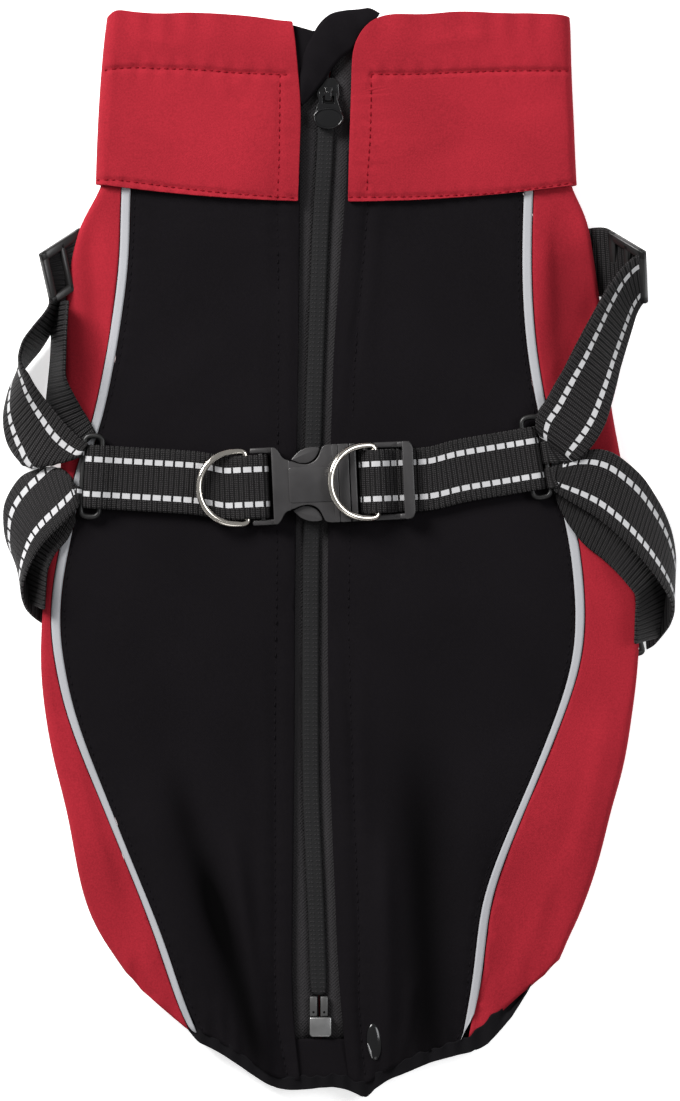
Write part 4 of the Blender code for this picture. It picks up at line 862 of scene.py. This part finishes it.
# ------------------------------------------------------------------ hem snap
# A press stud of black enamelled metal, set through the cloth at the foot of the right placket.
# It lies in a fold, so it is seen nearly edge on.
stud = bmesh.new()
bmesh.ops.create_uvsphere(stud, u_segments=32, v_segments=16, radius=1.0)
lay(stud, stud.verts, (3.0 * MM, 7.3 * MM, 1.3 * MM), [(math.radians(4.0), "Z")],
      (13.5, -231.3, 8.6))
hard_piece("hem_snap", "cap", stud, black_enamel)
# A sliver of bright metal on one side of the stud's edge stands in for its glint: a painted
# highlight
stud_glint = bmesh.new()
bmesh.ops.create_uvsphere(stud_glint, u_segments=16, v_segments=10, radius=1.0)
lay(stud_glint, stud_glint.verts, (0.42 * MM, 3.2 * MM, 0.35 * MM), [(math.radians(17.0), "Z")],
      (11.9, -234.8, 9.5))
show("hem_snap_glint", finished(stud_glint, "hem_snap_glint"), box_metal, slot="dark_metal")

# ------------------------------------------------------------------ harness webbing
# Ribbed black webbing, 25 mm wide, with two rows of pale reflective dashes woven into its
# face. Its back is plain. The straps wrap the bars of the rings, sliders and buckle.
BUCKLE_LINE = 40.0                # the harness is measured from the buckle's line, at y = -40
WEBBING = 25.0
WEBBING_THICK = 1.5
GRIPPED_SHARE = 0.4               # how much of the weave's width shows where a ring bunches it
WEBBING_PARTS = 10                # of its mesh, from edge to edge
TUCK_DROP = 1.6                   # how far below the strap its tucked edge lies

webbing_weave = bpy.data.node_groups.new("webbing_weave", "ShaderNodeTree")
rib_in, rib_out = group_sockets(
    webbing_weave,
    (("Strip", "NodeSocketVector", None), ("Dashes", "NodeSocketFloat", 1.0),
     ("Yarn", "NodeSocketColor", (0.0128, 0.0121, 0.0125, 1.0)),
     ("Reflective", "NodeSocketColor", (0.47, 0.47, 0.48, 1.0))),
    (("Colour", "NodeSocketColor"), ("Height", "NodeSocketFloat")))
tree = webbing_weave
link = tree.links.new
calc = partial(math_node, tree)
strip_parts = tree.nodes.new("ShaderNodeSeparateXYZ")
link(rib_in.outputs["Strip"], strip_parts.inputs[0])
along, across = strip_parts.outputs[0], strip_parts.outputs[1]


def wave(place, period):
    return calc("SINE", calc("MULTIPLY", place, math.pi / period))


# Centimetres between yarns along and across, and between ribs; then the rows of dashes: how far
# each lies from the middle, half its width, a dash's pitch, and how much of that it fills
YARN_ALONG, YARN_ACROSS, RIB_PITCH = 0.10, 0.075, 0.20
ROW_PLACE, ROW_HALF, DASH_PITCH, DASH_FILL = 0.68, 0.108, 0.4, 0.78
speck = calc("ABSOLUTE", calc("MULTIPLY", wave(along, YARN_ALONG), wave(across, YARN_ACROSS)))
rib = calc("ABSOLUTE", wave(along, RIB_PITCH))
relief = calc("MULTIPLY", calc("MULTIPLY_ADD", speck, 1.5, 0.12), calc("POWER", rib, 1.6))
from_row = calc("ABSOLUTE", calc("SUBTRACT", calc("ABSOLUTE", across), ROW_PLACE))
in_row = calc("LESS_THAN", from_row, ROW_HALF)
in_dash = calc("LESS_THAN", calc("FRACT", calc("MULTIPLY", along, 1 / DASH_PITCH)), DASH_FILL)
dash = calc("MULTIPLY", calc("MULTIPLY", in_row, in_dash), rib_in.outputs["Dashes"])
link(calc("MULTIPLY_ADD", relief, calc("SUBTRACT", 1.0, dash), calc("MULTIPLY", dash, 1.3)),
     rib_out.inputs["Height"])
pick = tree.nodes.new("ShaderNodeMix")
pick.data_type = "RGBA"
link(dash, pick.inputs["Factor"])
# The yarn's colour follows the relief: painted highlight on the ribs' and yarns' tops, painted
# shade in the gaps between the ribs
link(scaled(tree, rib_in.outputs["Yarn"], calc("MULTIPLY_ADD", relief, 3.1, 0.1)),
     pick.inputs["A"])
link(rib_in.outputs["Reflective"], pick.inputs["B"])
link(pick.outputs["Result"], rib_out.inputs["Colour"])


def webbing_look(name, dashes):
    made, _, weave = grouped(
        name, webbing_weave, 1.0, 0.0004, {"Dashes": dashes},
        {"Base Color": (0.02, 0.02, 0.02, 1.0), "Roughness": 0.55, "Specular IOR Level": 0.15})
    strip = made.node_tree.nodes.new("ShaderNodeUVMap")
    strip.uv_map = "strip"
    made.node_tree.links.new(strip.outputs["UV"], weave.inputs["Strip"])
    return made


striped_webbing = webbing_look("striped_webbing", 1.0)
plain_webbing = webbing_look("plain_webbing", 0.0)


def webbing(name, rows, flip=False, tucks=(), gripped=()):
    """A strap through rows of its two edges, each x, y, z in mm from the buckle's line.
    tucks are the rows where a share of its width, on the first edge's side, is folded under.
    gripped are the rows bunched in a ring, where only the middle of the weave shows."""
    form = bmesh.new()
    strip = form.loops.layers.uv.new("strip")
    bmesh.ops.create_grid(form, x_segments=len(rows) - 1, y_segments=WEBBING_PARTS, size=1.0)
    run = [0.0]
    middles = [(Vector(r[:3]) + Vector(r[3:])) / 2 for r in rows]
    for a, b in zip(middles, middles[1:]):
        run.append(run[-1] + (b - a).length)
    for face in form.faces:
        for loop in face.loops:
            u = round((loop.vert.co.x + 1) / 2 * (len(rows) - 1))
            width = WEBBING * (GRIPPED_SHARE if u in gripped else 1.0)
            loop[strip].uv = (run[u] / 10, loop.vert.co.y / 2 * width / 10)
    tucked = dict(tucks)
    for vert in form.verts:
        u = round((vert.co.x + 1) / 2 * (len(rows) - 1))
        shown = 1.0 - tucked.get(u, 0.0)
        off = 1.0 - (vert.co.y + 1) / 2
        under = 0.0
        if off <= shown:
            share = 1.0 - off / shown
        else:
            back = (off - shown) / (1.0 - shown)
            share = back * min((1.0 - shown) / shown, 0.85)
            under = TUCK_DROP * min(back * 6.0, 1.0)
        spot = Vector(rows[u][:3]).lerp(Vector(rows[u][3:]), share)
        vert.co = Vector((spot.x, spot.y - BUCKLE_LINE, spot.z - under)) * MM
    if flip:
        bmesh.ops.reverse_faces(form, faces=form.faces)
    piece = show(name + "_webbing", finished(form, name), striped_webbing, plain_webbing,
                 slot="black_webbing", replaced=(name,))
    wall = piece.modifiers.new("wall", "SOLIDIFY")
    wall.thickness = WEBBING_THICK * MM
    wall.offset = 0.0
    wall.use_even_offset = not tucks
    wall.material_offset = wall.material_offset_rim = 1
    edge = piece.modifiers.new("edge", "SUBSURF")
    edge.levels = edge.render_levels = 1


# ------------------------------------------------------------------ straps across the back
# One folded strap each side, from the side ring to the buckle. Each is wrapped round its
# ring's bar and the buckle's bar, over the D-ring's bar, and sewn to itself underneath.
# Where each lies, in x and y from the buckle's line, and its turn in degrees
BUCKLE = (-3.3, 26.3, 2.6)
LEFT_RING = (-95.4, 28.9, -3.3)
RIGHT_RING = (75.6, 36.0, 9.4)
UNDER_Z, TOP_Z, BAR_Z = 8.5, 10.4, 10.8      # a strap's return, its face, and the bars
WRAP = 2.3                        # from a bar's middle to the middle of the webbing round it
D_BAR_RIGHT = (17.6, 12.95)       # how far the right D-ring's bar is from the buckle, its height


def frame_point(place, s, t, z):
    x, y, turn = place
    c, d = math.cos(math.radians(turn)), math.sin(math.radians(turn))
    return (x + s * c - t * d, y + s * d + t * c, z)


def arc(s, z, start, end, count):
    turns = [math.radians(start + (end - start) * n / (count - 1)) for n in range(count)]
    return [(s + WRAP * math.cos(turn), z + WRAP * math.sin(turn)) for turn in turns]


def along_buckle(place):
    gap = math.hypot(place[0] - BUCKLE[0], place[1] - BUCKLE[1])
    return math.copysign(gap, place[0] - BUCKLE[0])


def back_strap(name, profile, ring, turn_start, turn_end, flip):
    rows = []
    half = WEBBING / 2
    for s, z in smooth_rows(profile, 2):
        t = float(smooth(turn_start, turn_end, abs(s)))
        row = []
        for side in (-1, 1):
            by_ring = Vector(frame_point(ring, s - along_buckle(ring), side * half, z))
            by_buckle = Vector(frame_point(BUCKLE, s, side * half, z))
            row += list(by_buckle.lerp(by_ring, t))
        rows.append(row)
    webbing(name, rows, flip)


# A strap's run from end to end: how far along the buckle's line, and the height. The ring's
# bar is at r.
r = along_buckle(LEFT_RING)
left_profile = [(r + 31.0, UNDER_Z), (r + 16.0, UNDER_Z), (r + 3.0, UNDER_Z),
                *arc(r - 1.1, BAR_Z, 270, 90, 7), (r + 3.0, BAR_Z + 2.0), (r + 6.0, TOP_Z + 0.9),
                (r + 9.0, TOP_Z + 0.15), (r + 13.0, TOP_Z), (r + 34.0, TOP_Z), (-44.0, TOP_Z),
                (-40.8, TOP_Z + 0.1), (-38.2, TOP_Z + 0.9), (-35.6, BAR_Z + 1.8),
                (-32.9, BAR_Z + 2.4), (-30.0, BAR_Z + 2.3), *arc(-27.0, BAR_Z, 90, -90, 7),
                (-34.0, UNDER_Z), (-44.0, UNDER_Z), (r + 31.4, UNDER_Z)]
back_strap("back_strap_left", left_profile, LEFT_RING, 39.0, 52.0, False)

r = along_buckle(RIGHT_RING)
d_s, d_z = D_BAR_RIGHT
OVER = 2.35                       # from the D-ring's bar to the strap's middle over it
right_profile = [(r - 34.0, UNDER_Z), (r - 20.0, UNDER_Z), (r - 3.0, UNDER_Z),
                 *arc(r, BAR_Z, -90, 90, 7), (r - 3.0, BAR_Z + 2.0), (r - 6.0, TOP_Z + 0.9),
                 (r - 9.0, TOP_Z + 0.15), (r - 13.0, TOP_Z), (r - 30.0, TOP_Z), (40.0, TOP_Z),
                 (33.0, TOP_Z), (25.6, TOP_Z), (24.4, TOP_Z + 0.9), (21.3, d_z + OVER * 0.55),
                 (19.5, d_z + OVER * 0.92), (d_s, d_z + OVER), (16.0, d_z + OVER * 0.82),
                 *arc(14.0, BAR_Z, 140, 270, 5), (20.0, UNDER_Z), (33.0, UNDER_Z),
                 (40.0, UNDER_Z), (r - 34.4, UNDER_Z)]
back_strap("back_strap_right", right_profile, RIGHT_RING, 36.0, 50.0, True)

# ------------------------------------------------------------------ loops round the sides
# Each adjuster strap leaves the ring's bar face up, stands on its edge beyond the coat, and
# goes to a slider. Its other end comes back under it with its plain back upwards.
RING_GAP = {-1: 7.4, 1: 6.2}      # from a ring's middle to its loops' bar: left -1, right 1
STRIPED_STEPS = 6                 # rows of the mesh for one row of a striped run's table
GATHER_ROWS = 16                  # rows before the ring over which a strap gathers
# Each row: the webbing's outer edge x, y, z and its inner edge x, y, z
UPPER_LEFT_PLAIN = (
    (-112.6, 97, 1.6, -105.4, 97.6, 16), (-112.8, 90, 1.2, -105.8, 90.6, 19),
    (-112.6, 82, 1, -106.2, 82.4, 21), (-113, 74, 1, -106.4, 75.2, 21),
    (-113.8, 66, 1.2, -106.4, 67.4, 19.5), (-114.6, 56.6, 2.4, -103.2, 60.6, 15.5),
    (-112.8, 47.6, 5.6, -99.4, 54.2, 11), (-107.6, 40.6, 8, -96.6, 49.6, 9.4),
    (-104.6, 37.4, 8.5, -94.6, 45.6, 8.5),
)
UPPER_LEFT_STRIPED = (
    (-101.8, 36.6, 13.4, -97.6, 41.6, 13.3), (-104.6, 35.2, 13.2, -98.4, 42.4, 13.3),
    (-108.8, 33.8, 12, -100.8, 44, 13.3), (-115, 32.2, 9.6, -104.3, 47.2, 13.4),
    (-121.5, 31.4, 6.8, -108.2, 51.5, 13.4), (-126.6, 35.5, 4, -111.7, 55.8, 13.6),
    (-130.2, 42.5, 2, -114.9, 59.8, 14.6), (-131.5, 50.6, 1.2, -118.4, 64.7, 17.2),
    (-130.4, 58.6, 1, -120.8, 68.8, 19.6), (-127.6, 66, 1, -123.2, 72, 21.4),
    (-122.9, 71.8, 1, -124.2, 75.6, 21.6), (-117.4, 78.2, 1, -122.8, 81.6, 20.4),
    (-113.6, 84, 1.4, -118.6, 87.6, 18.6), (-110.4, 90, 2.2, -114.6, 92.6, 16.4),
    (-107.6, 95.9, 3.4, -112.8, 96.4, 14.4), (-105.4, 101.4, 4.4, -113.6, 101.4, 12.4),
    (-103.6, 107, 4.6, -114.6, 106.4, 11.6), (-101.4, 113.6, 4.4, -115.4, 110.6, 12),
    (-99.4, 124.2, 4.2, -116.2, 116.2, 12.6),
)
LOWER_LEFT_PLAIN = (
    (-122.4, -20, 1.2, -114.8, -23, 13), (-123.6, -11.6, 1.2, -114.4, -16, 14.4),
    (-124, -2.4, 1.6, -113.8, -8.6, 13.4), (-123.4, 3.4, 2.8, -112.4, -4.6, 12),
    (-121.8, 9.4, 4.6, -110.2, -0.6, 10.4), (-116.8, 18, 7.4, -105.6, 4.8, 9.4),
    (-109.6, 25.6, 8.5, -102.6, 11.6, 8.7),
)
LOWER_LEFT_STRIPED = (
    (-103.6, 25.4, 13.2, -101, 18.6, 13.3), (-106, 31, 11.4, -101.8, 16.6, 13.2),
    (-110.8, 33.6, 8.4, -104.6, 13.4, 13.2), (-117.6, 33.2, 4.4, -108.4, 9.6, 13.2),
    (-125, 29, 2.2, -112.6, 5.4, 13.6), (-130.8, 19.4, 1, -116.6, 0.8, 14.6),
    (-131.2, 9.6, 1, -119.6, -4.4, 16.4), (-129.4, 2.4, 1, -121.8, -9.4, 17.4),
    (-126, -2.4, 1, -123.4, -15, 15), (-122.4, -5, 0.9, -122.6, -21.6, 8.6),
    (-118.8, -6, 0.9, -119.6, -26, 3.4), (-115.6, -6.4, 0.9, -116, -28.6, 0.9),
)
UPPER_RIGHT_PLAIN = (
    (112.6, 88, 3.4, 105.8, 106, 9), (109.8, 76, 4.6, 100.4, 96, 10),
    (107, 64, 6.6, 93.8, 84, 9.9), (103.2, 54, 8, 87.4, 71.4, 9.2),
    (98.6, 49.5, 8.9, 84.4, 63.5, 8.9), (95.6, 43.4, 8.8, 82.2, 56.6, 8.8),
    (90.2, 38.4, 8.6, 82.8, 50.4, 8.6), (86.6, 35.4, 8.5, 83.6, 46.6, 8.5),
)
UPPER_RIGHT_STRIPED = (
    (91, 34.6, 12.4, 78.4, 44.2, 12.8), (93.2, 35.6, 13.8, 76.2, 48.2, 14.4),
    (97, 39, 13.9, 76.8, 53.8, 13.9), (100.6, 43.8, 13.6, 80.4, 59.2, 13),
    (103.6, 49.4, 12.6, 83.8, 65.4, 12.6), (105.8, 56, 11.4, 87.4, 71.4, 12.8),
    (107.9, 63.6, 9.8, 91.4, 77.6, 13.4), (109.8, 71.4, 7.8, 95.2, 84.6, 14.2),
    (112, 79, 6, 98.8, 91.6, 15.2), (114, 85.6, 5.2, 102.8, 99.6, 16),
    (115.8, 91.6, 6.2, 108.4, 108.6, 16.8), (117.6, 95.2, 7.4, 114, 114.2, 17.2),
    (119.2, 97, 8.4, 118.2, 116, 17.4),
)
LOWER_RIGHT_PLAIN = (
    (124.6, -34, 2, 114.8, -36.4, 14), (127, -22, 2, 115, -26.6, 15.4),
    (126.8, -9.4, 2.4, 115.2, -18.2, 15.6), (123.6, -3.4, 4, 113.2, -14.6, 14.6),
    (117.8, 4, 6.6, 108, -8.6, 12.4), (110.6, 12.6, 8.5, 102.4, -3.2, 8.8),
    (103.4, 20.4, 8.7, 95.6, 2.2, 8.6), (95.6, 26.4, 8.6, 89.6, 9.6, 8.6),
    (90.6, 30.2, 8.5, 85.8, 16.6, 8.5), (86.2, 33.4, 8.5, 83.4, 23.6, 8.5),
)
LOWER_RIGHT_STRIPED = (
    (87, 34.4, 11.8, 82, 25.2, 12.2), (90.2, 36.8, 12.2, 84.6, 22.4, 12.8),
    (95, 39, 12, 88.8, 19.6, 12.6), (100.8, 39.8, 11.8, 93.8, 16.6, 12.3),
    (107, 38.2, 11.4, 99.4, 13.2, 12.2), (113.4, 33.6, 10.2, 105.4, 8.6, 12.4),
    (118.8, 28.4, 8.2, 111, 3.4, 12.8), (123.2, 21.9, 6, 116, -1.6, 13.3),
    (127, 15, 4, 120.4, -6.8, 13.9), (129.7, 7.6, 2.6, 124.2, -11.8, 14.4),
    (131, 0, 1.6, 127.6, -17, 13.8), (130.8, -7, 1, 129.9, -22.6, 11.2),
    (128.9, -11.6, 0.9, 129, -28.4, 7), (125.6, -14, 0.9, 126, -33.4, 3.2),
    (122, -15, 0.9, 123, -37, 1.4), (118.4, -15.6, 0.9, 120, -38.8, 0.9),
)
# The share of each strap's width that is folded under beside the ring, row by row
TUCKS = (0.66, 0.62, 0.5, 0.34, 0.16, 0.04, 0.0)
for name, ring, side, plain, striped, grip in (
        ("loop_upper_left", LEFT_RING, -1, UPPER_LEFT_PLAIN, UPPER_LEFT_STRIPED, (7.0, 13.0)),
        ("loop_lower_left", LEFT_RING, -1, LOWER_LEFT_PLAIN, LOWER_LEFT_STRIPED, (-4.0, -10.0)),
        ("loop_upper_right", RIGHT_RING, 1, UPPER_RIGHT_PLAIN, UPPER_RIGHT_STRIPED, (-2.9, 8.0)),
        ("loop_lower_right", RIGHT_RING, 1, LOWER_RIGHT_PLAIN, LOWER_RIGHT_STRIPED,
         (-4.4, -12.6))):
    rows = smooth_rows(plain, 5)
    wrap_start = len(rows)
    for s, z in arc(side * RING_GAP[side], BAR_Z, -90 if side < 0 else 270, 90, 9):
        rows.append([*frame_point(ring, s, grip[0], z), *frame_point(ring, s, grip[1], z)])
    striped_start = len(rows)
    rows += smooth_rows(striped, STRIPED_STEPS)
    tucks = []
    if side < 0:
        gather_start = wrap_start - GATHER_ROWS
        tucks = [(n, 0.5 * float(smooth(gather_start, wrap_start - 4, n)))
                 for n in range(gather_start, wrap_start)]
        tucks += [(n, TUCKS[0]) for n in range(wrap_start, striped_start)]
        for n in range((len(TUCKS) - 1) * STRIPED_STEPS):
            share = float(np.interp(n / STRIPED_STEPS, range(len(TUCKS)), TUCKS))
            if grip[0] < 0:
                share *= max(1 - n / 24, 0.0)
            tucks.append((striped_start + n, share))
    gripped = range(wrap_start, striped_start + 3) if side > 0 else ()
    webbing(name, rows, flip=name in ("loop_upper_left", "loop_lower_right"), tucks=tucks,
            gripped=gripped)

# ------------------------------------------------------------------ straps under the coat
# The chest strap and the girth strap are cut from the same webbing. They run under the belly
# from slider to slider, and hold the coat on.
BELOW_Z = 0.8
CHEST_ENDS = (
    (-96, 101, 0.8, -96, 126, 0.8), (-103, 101, 1.2, -102.5, 125.5, 2.6),
    (-107.6, 101.6, 4.4, -105.8, 123, 8.2),
)
CHEST_RIGHT = (
    (96, 101, 0.8, 96, 126, 0.8), (101.5, 99.4, 1.2, 100.6, 126.6, 3),
    (106.6, 98.8, 3, 104.8, 126, 6.4), (111.4, 98.8, 6, 109.6, 122.4, 9.8),
    (117, 98.6, 8.6, 115, 118.4, 13.2),
)
rows = smooth_rows(CHEST_ENDS[::-1], 4)
rows += [[x, 101.0, BELOW_Z, x, 126.0, BELOW_Z] for x in np.linspace(-90.0, 90.0, 25)]
rows += smooth_rows(CHEST_RIGHT, 4)
webbing("chest_strap", rows, flip=True)
GIRTH_PARTS = 30
rows = []
for n in range(GIRTH_PARTS + 1):
    x, y = Vector((-98.6, -17.0)).lerp(Vector((98.4, -29.0)), n / GIRTH_PARTS)
    rows.append([x, y - WEBBING / 2, BELOW_Z, x, y + WEBBING / 2, BELOW_Z])
webbing("girth_strap", rows, flip=True)

# ------------------------------------------------------------------ sliders and side rings
# Black moulded plastic: tri-glide sliders with three bars, which grip the webbing threaded
# through them, and the rings that join each strap of the back to its two loops.
black_plastic = grained("black_plastic", (0.0135, 0.0130, 0.0130), 0.34, variation=0.5,
                        relief=0.16)
# The side rings are the sliders' black plastic made darker: painted shade where the straps wrap
# over them
ring_plastic_painted_shade = grained("ring_plastic_painted_shade", (0.006, 0.006, 0.006), 0.42)
GLIDE_RAIL, GLIDE_BAR, GLIDE_END, GLIDE_THICK = 3.2, 2.4, 3.6, 2.4


def tri_glide(corner, along, across):
    """A slider from one corner: its bars run along, and the webbing runs across them."""
    form = bmesh.new()
    length, depth = Vector(along).length, Vector(across).length
    parts = [((0.0, 0.0), (length, GLIDE_RAIL)), ((0.0, depth - GLIDE_RAIL), (length, depth)),
             ((1.0, depth / 2 - GLIDE_BAR / 2), (length - 1.0, depth / 2 + GLIDE_BAR / 2)),
             ((0.0, 0.0), (GLIDE_END, depth)), ((length - GLIDE_RAIL, 0.0), (length, depth))]
    for (x1, y1), (x2, y2) in parts:
        bar = bmesh.ops.create_cube(form, size=1.0)["verts"]
        bmesh.ops.scale(form, verts=bar, vec=(x2 - x1, y2 - y1, GLIDE_THICK))
        bmesh.ops.translate(form, verts=bar, vec=((x1 + x2) / 2, (y1 + y2) / 2, 0.0))
    rounded(form, form.edges, radius=0.55, segments=2)
    u, v = Vector(along).normalized(), Vector(across).normalized()
    w = u.cross(v).normalized()
    if w.z < 0:
        w = -w
    place = Matrix((u, v, w)).transposed().to_4x4()
    place.translation = Vector(corner)
    bmesh.ops.transform(form, matrix=place, verts=form.verts)
    bmesh.ops.scale(form, verts=form.verts, vec=(MM, MM, MM))
    bmesh.ops.recalc_face_normals(form, faces=form.faces)
    return form


for name, corner, along, across in (
        ("slider_upper_left", (-116.6, 75.6, 15.6), (4.4, -20.0, -3.0), (15.2, 10.8, -11.6)),
        ("slider_upper_right", (118.6, 76.2, 18.6), (1.2, -19.8, -9.0), (-13.2, 8.6, -9.0))):
    hard_piece(name, "moulded", tri_glide(corner, along, across), black_plastic, "black_plastic")
for name in ("slider_lower_left", "slider_lower_right"):
    hard_piece(name, "moulded", hard_copy(name, bevel=0.4), black_plastic, "black_plastic")
for side, inward in (("left", 2.6), ("right", -2.6)):
    cloth_piece(f"side_ring_{side}", f"side_ring_{side}_moulded", ring_plastic_painted_shade, levels=2,
                move=lambda x, y, z, up: (x + inward, y, z - 0.4), crease=0.0,
                slot="black_plastic")

# ------------------------------------------------------------------ side release buckle
# Moulded plastic in two parts. The plug's two springy prongs show in the socket's side
# openings, and a shallow panel is sunk in the middle of its face. A bar at each end holds
# the webbing.
BUCKLE_LOW = 7.75
buckle_plastic = grained("buckle_plastic", (0.0340, 0.0325, 0.0335), 0.36, variation=0.5,
                         relief=0.16)


def to_buckle(form):
    place = (Matrix.Translation((BUCKLE[0] * MM, (BUCKLE[1] - BUCKLE_LINE) * MM, 0.0))
             @ Matrix.Rotation(math.radians(BUCKLE[2]), 4, "Z"))
    bmesh.ops.transform(form, matrix=place, verts=form.verts)
    return form


def slab(form, x1, x2, y1, y2, low, high, bevel=0.5):
    moulded(form, [(x1, y1), (x2, y1), (x2, y2), (x1, y2)], low, high, bevel, 2)


plug = bmesh.new()
waist = smooth_rows([(-22.8, 15.0), (-21.2, 14.8), (-19.9, 13.4), (-18.9, 11.6), (-17.7, 10.3),
                     (-16.3, 9.8)], 3)
moulded(plug, both_sides([*waist, (-15.8, 9.7)]), 8.1, 14.9, 0.6)
prong = smooth_rows([(-15.2, 9.9), (-13.9, 11.3), (-12.0, 13.0), (-9.3, 14.2), (-6.4, 14.5),
                     (-4.0, 14.2)], 3) + smooth_rows(
    [(-3.9, 13.4), (-4.9, 11.2), (-6.6, 9.4), (-9.0, 8.3), (-12.0, 8.4)], 3)
for side in (1, -1):
    moulded(plug, [(x, side * y) for x, y in prong], 8.6, 13.3, 0.8)
    slab(plug, -31.1, -21.4, *sorted((side * 12.9, side * 15.1)), 9.5, 12.3, 0.6)
slab(plug, -27.9, -26.1, -13.6, 13.6, 9.9, 11.7, 0.4)
hard_piece("buckle_plug", "moulded", to_buckle(plug), buckle_plastic, "black_plastic")

socket = bmesh.new()
front = smooth_rows([(-16.4, 9.4), (-14.8, 9.2), (-12.0, 8.2), (-9.0, 7.9), (-6.4, 8.8),
                     (-4.6, 10.6), (-3.4, 13.2), (-2.6, 14.6), (-0.6, 15.2)], 3)
moulded(socket, both_sides([*front, (1.0, 15.2)]), BUCKLE_LOW, 15.1, 0.5)
for start, end, top, bevel in ((0.8, 3.0, 15.0, 0.25), (3.1, 7.3, 14.8, 0.25),
                               (7.5, 10.2, 14.2, 0.5)):
    moulded(socket, both_sides([(start, 15.2), (end, 15.2)]), BUCKLE_LOW, top, bevel)
panel = smooth_rows([(-16.4, 6.0), (-16.0, 6.6), (-15.2, 6.9)], 3)
moulded(socket, both_sides([*panel, (0.2, 6.9)]), 14.6, 15.45, 0.2, 2)
for side in (1, -1):
    slab(socket, 8.0, 30.0, *sorted((side * 12.9, side * 15.2)), BUCKLE_LOW, 11.35, 0.6)
    slab(socket, 26.2, 31.4, *sorted((side * 12.9, side * 15.1)), 9.0, 14.4, 0.6)
slab(socket, 13.1, 14.9, -13.6, 13.6, 9.9, 11.3, 0.4)
end_bar = smooth_rows([(28.2, 15.2), (30.0, 15.1), (31.6, 14.4), (32.5, 12.4)], 3)
moulded(socket, both_sides(end_bar), 11.7, 14.7, 0.7)
hard_piece("buckle_socket", "moulded", to_buckle(socket), buckle_plastic, "black_plastic")

# ------------------------------------------------------------------ D-rings
# Two welded rings of nickel-plated wire, which the lead is clipped to. The straps are folded
# round the rings' straight bars, and the rings hinge on them.
nickel = grained("nickel", (0.72, 0.68, 0.62), 0.13, 1.0, variation=0.3, relief=0.0)
D_HALF_WIDTH = 14.1
D_DEPTH = 18.8
WIRE_RADIUS = 1.3
BOW_PARTS = 40
for side, bar_s, bar_z, tilt in (("left", -32.9, BAR_Z + 0.05, 10.5),
                                 ("right", *D_BAR_RIGHT, 20.0)):
    corner = [(0.1, D_HALF_WIDTH - 2.0), (0.6, D_HALF_WIDTH - 0.6), (2.2, D_HALF_WIDTH)]
    flat = [(0.0, 0.0), (0.0, 7.0), *corner]
    for n in range(BOW_PARTS + 1):
        angle = math.radians(90 - 180 * n / BOW_PARTS)
        flat.append((D_DEPTH - D_HALF_WIDTH + D_HALF_WIDTH * math.cos(angle),
                     D_HALF_WIDTH * math.sin(angle)))
    flat += [(d, -t) for d, t in corner[::-1]] + [(0.0, -7.0), (0.0, 0.0)]
    line = smooth_rows([list(spot) for spot in flat], 3)[:-1]
    lean = math.radians(tilt)
    line = [Vector(frame_point(BUCKLE, bar_s - d * math.cos(lean), t, bar_z + d * math.sin(lean)))
            for d, t in line]
    wire = bmesh.new()
    sections = []
    for n, spot in enumerate(line):
        ahead = line[(n + 1) % len(line)] - line[n - 1]
        section = bmesh.ops.create_circle(wire, segments=20, radius=WIRE_RADIUS * MM)["verts"]
        bmesh.ops.rotate(wire, verts=section, matrix=ahead.to_track_quat("Z", "Y").to_matrix())
        bmesh.ops.translate(wire, verts=section,
                            vec=Vector((spot.x, spot.y - BUCKLE_LINE, spot.z)) * MM)
        sections.append(section)
    for near, far in zip(sections, sections[1:] + sections[:1]):
        loops = [edge for group in (near, far) for edge in wire.edges
                 if edge.verts[0] in group and edge.verts[1] in group]
        bmesh.ops.bridge_loops(wire, edges=loops)
    bmesh.ops.recalc_face_normals(wire, faces=wire.faces)
    hard_piece(f"d_ring_{side}", "wire", wire, nickel, "nickel_wire", f"{side}_lead_ring")
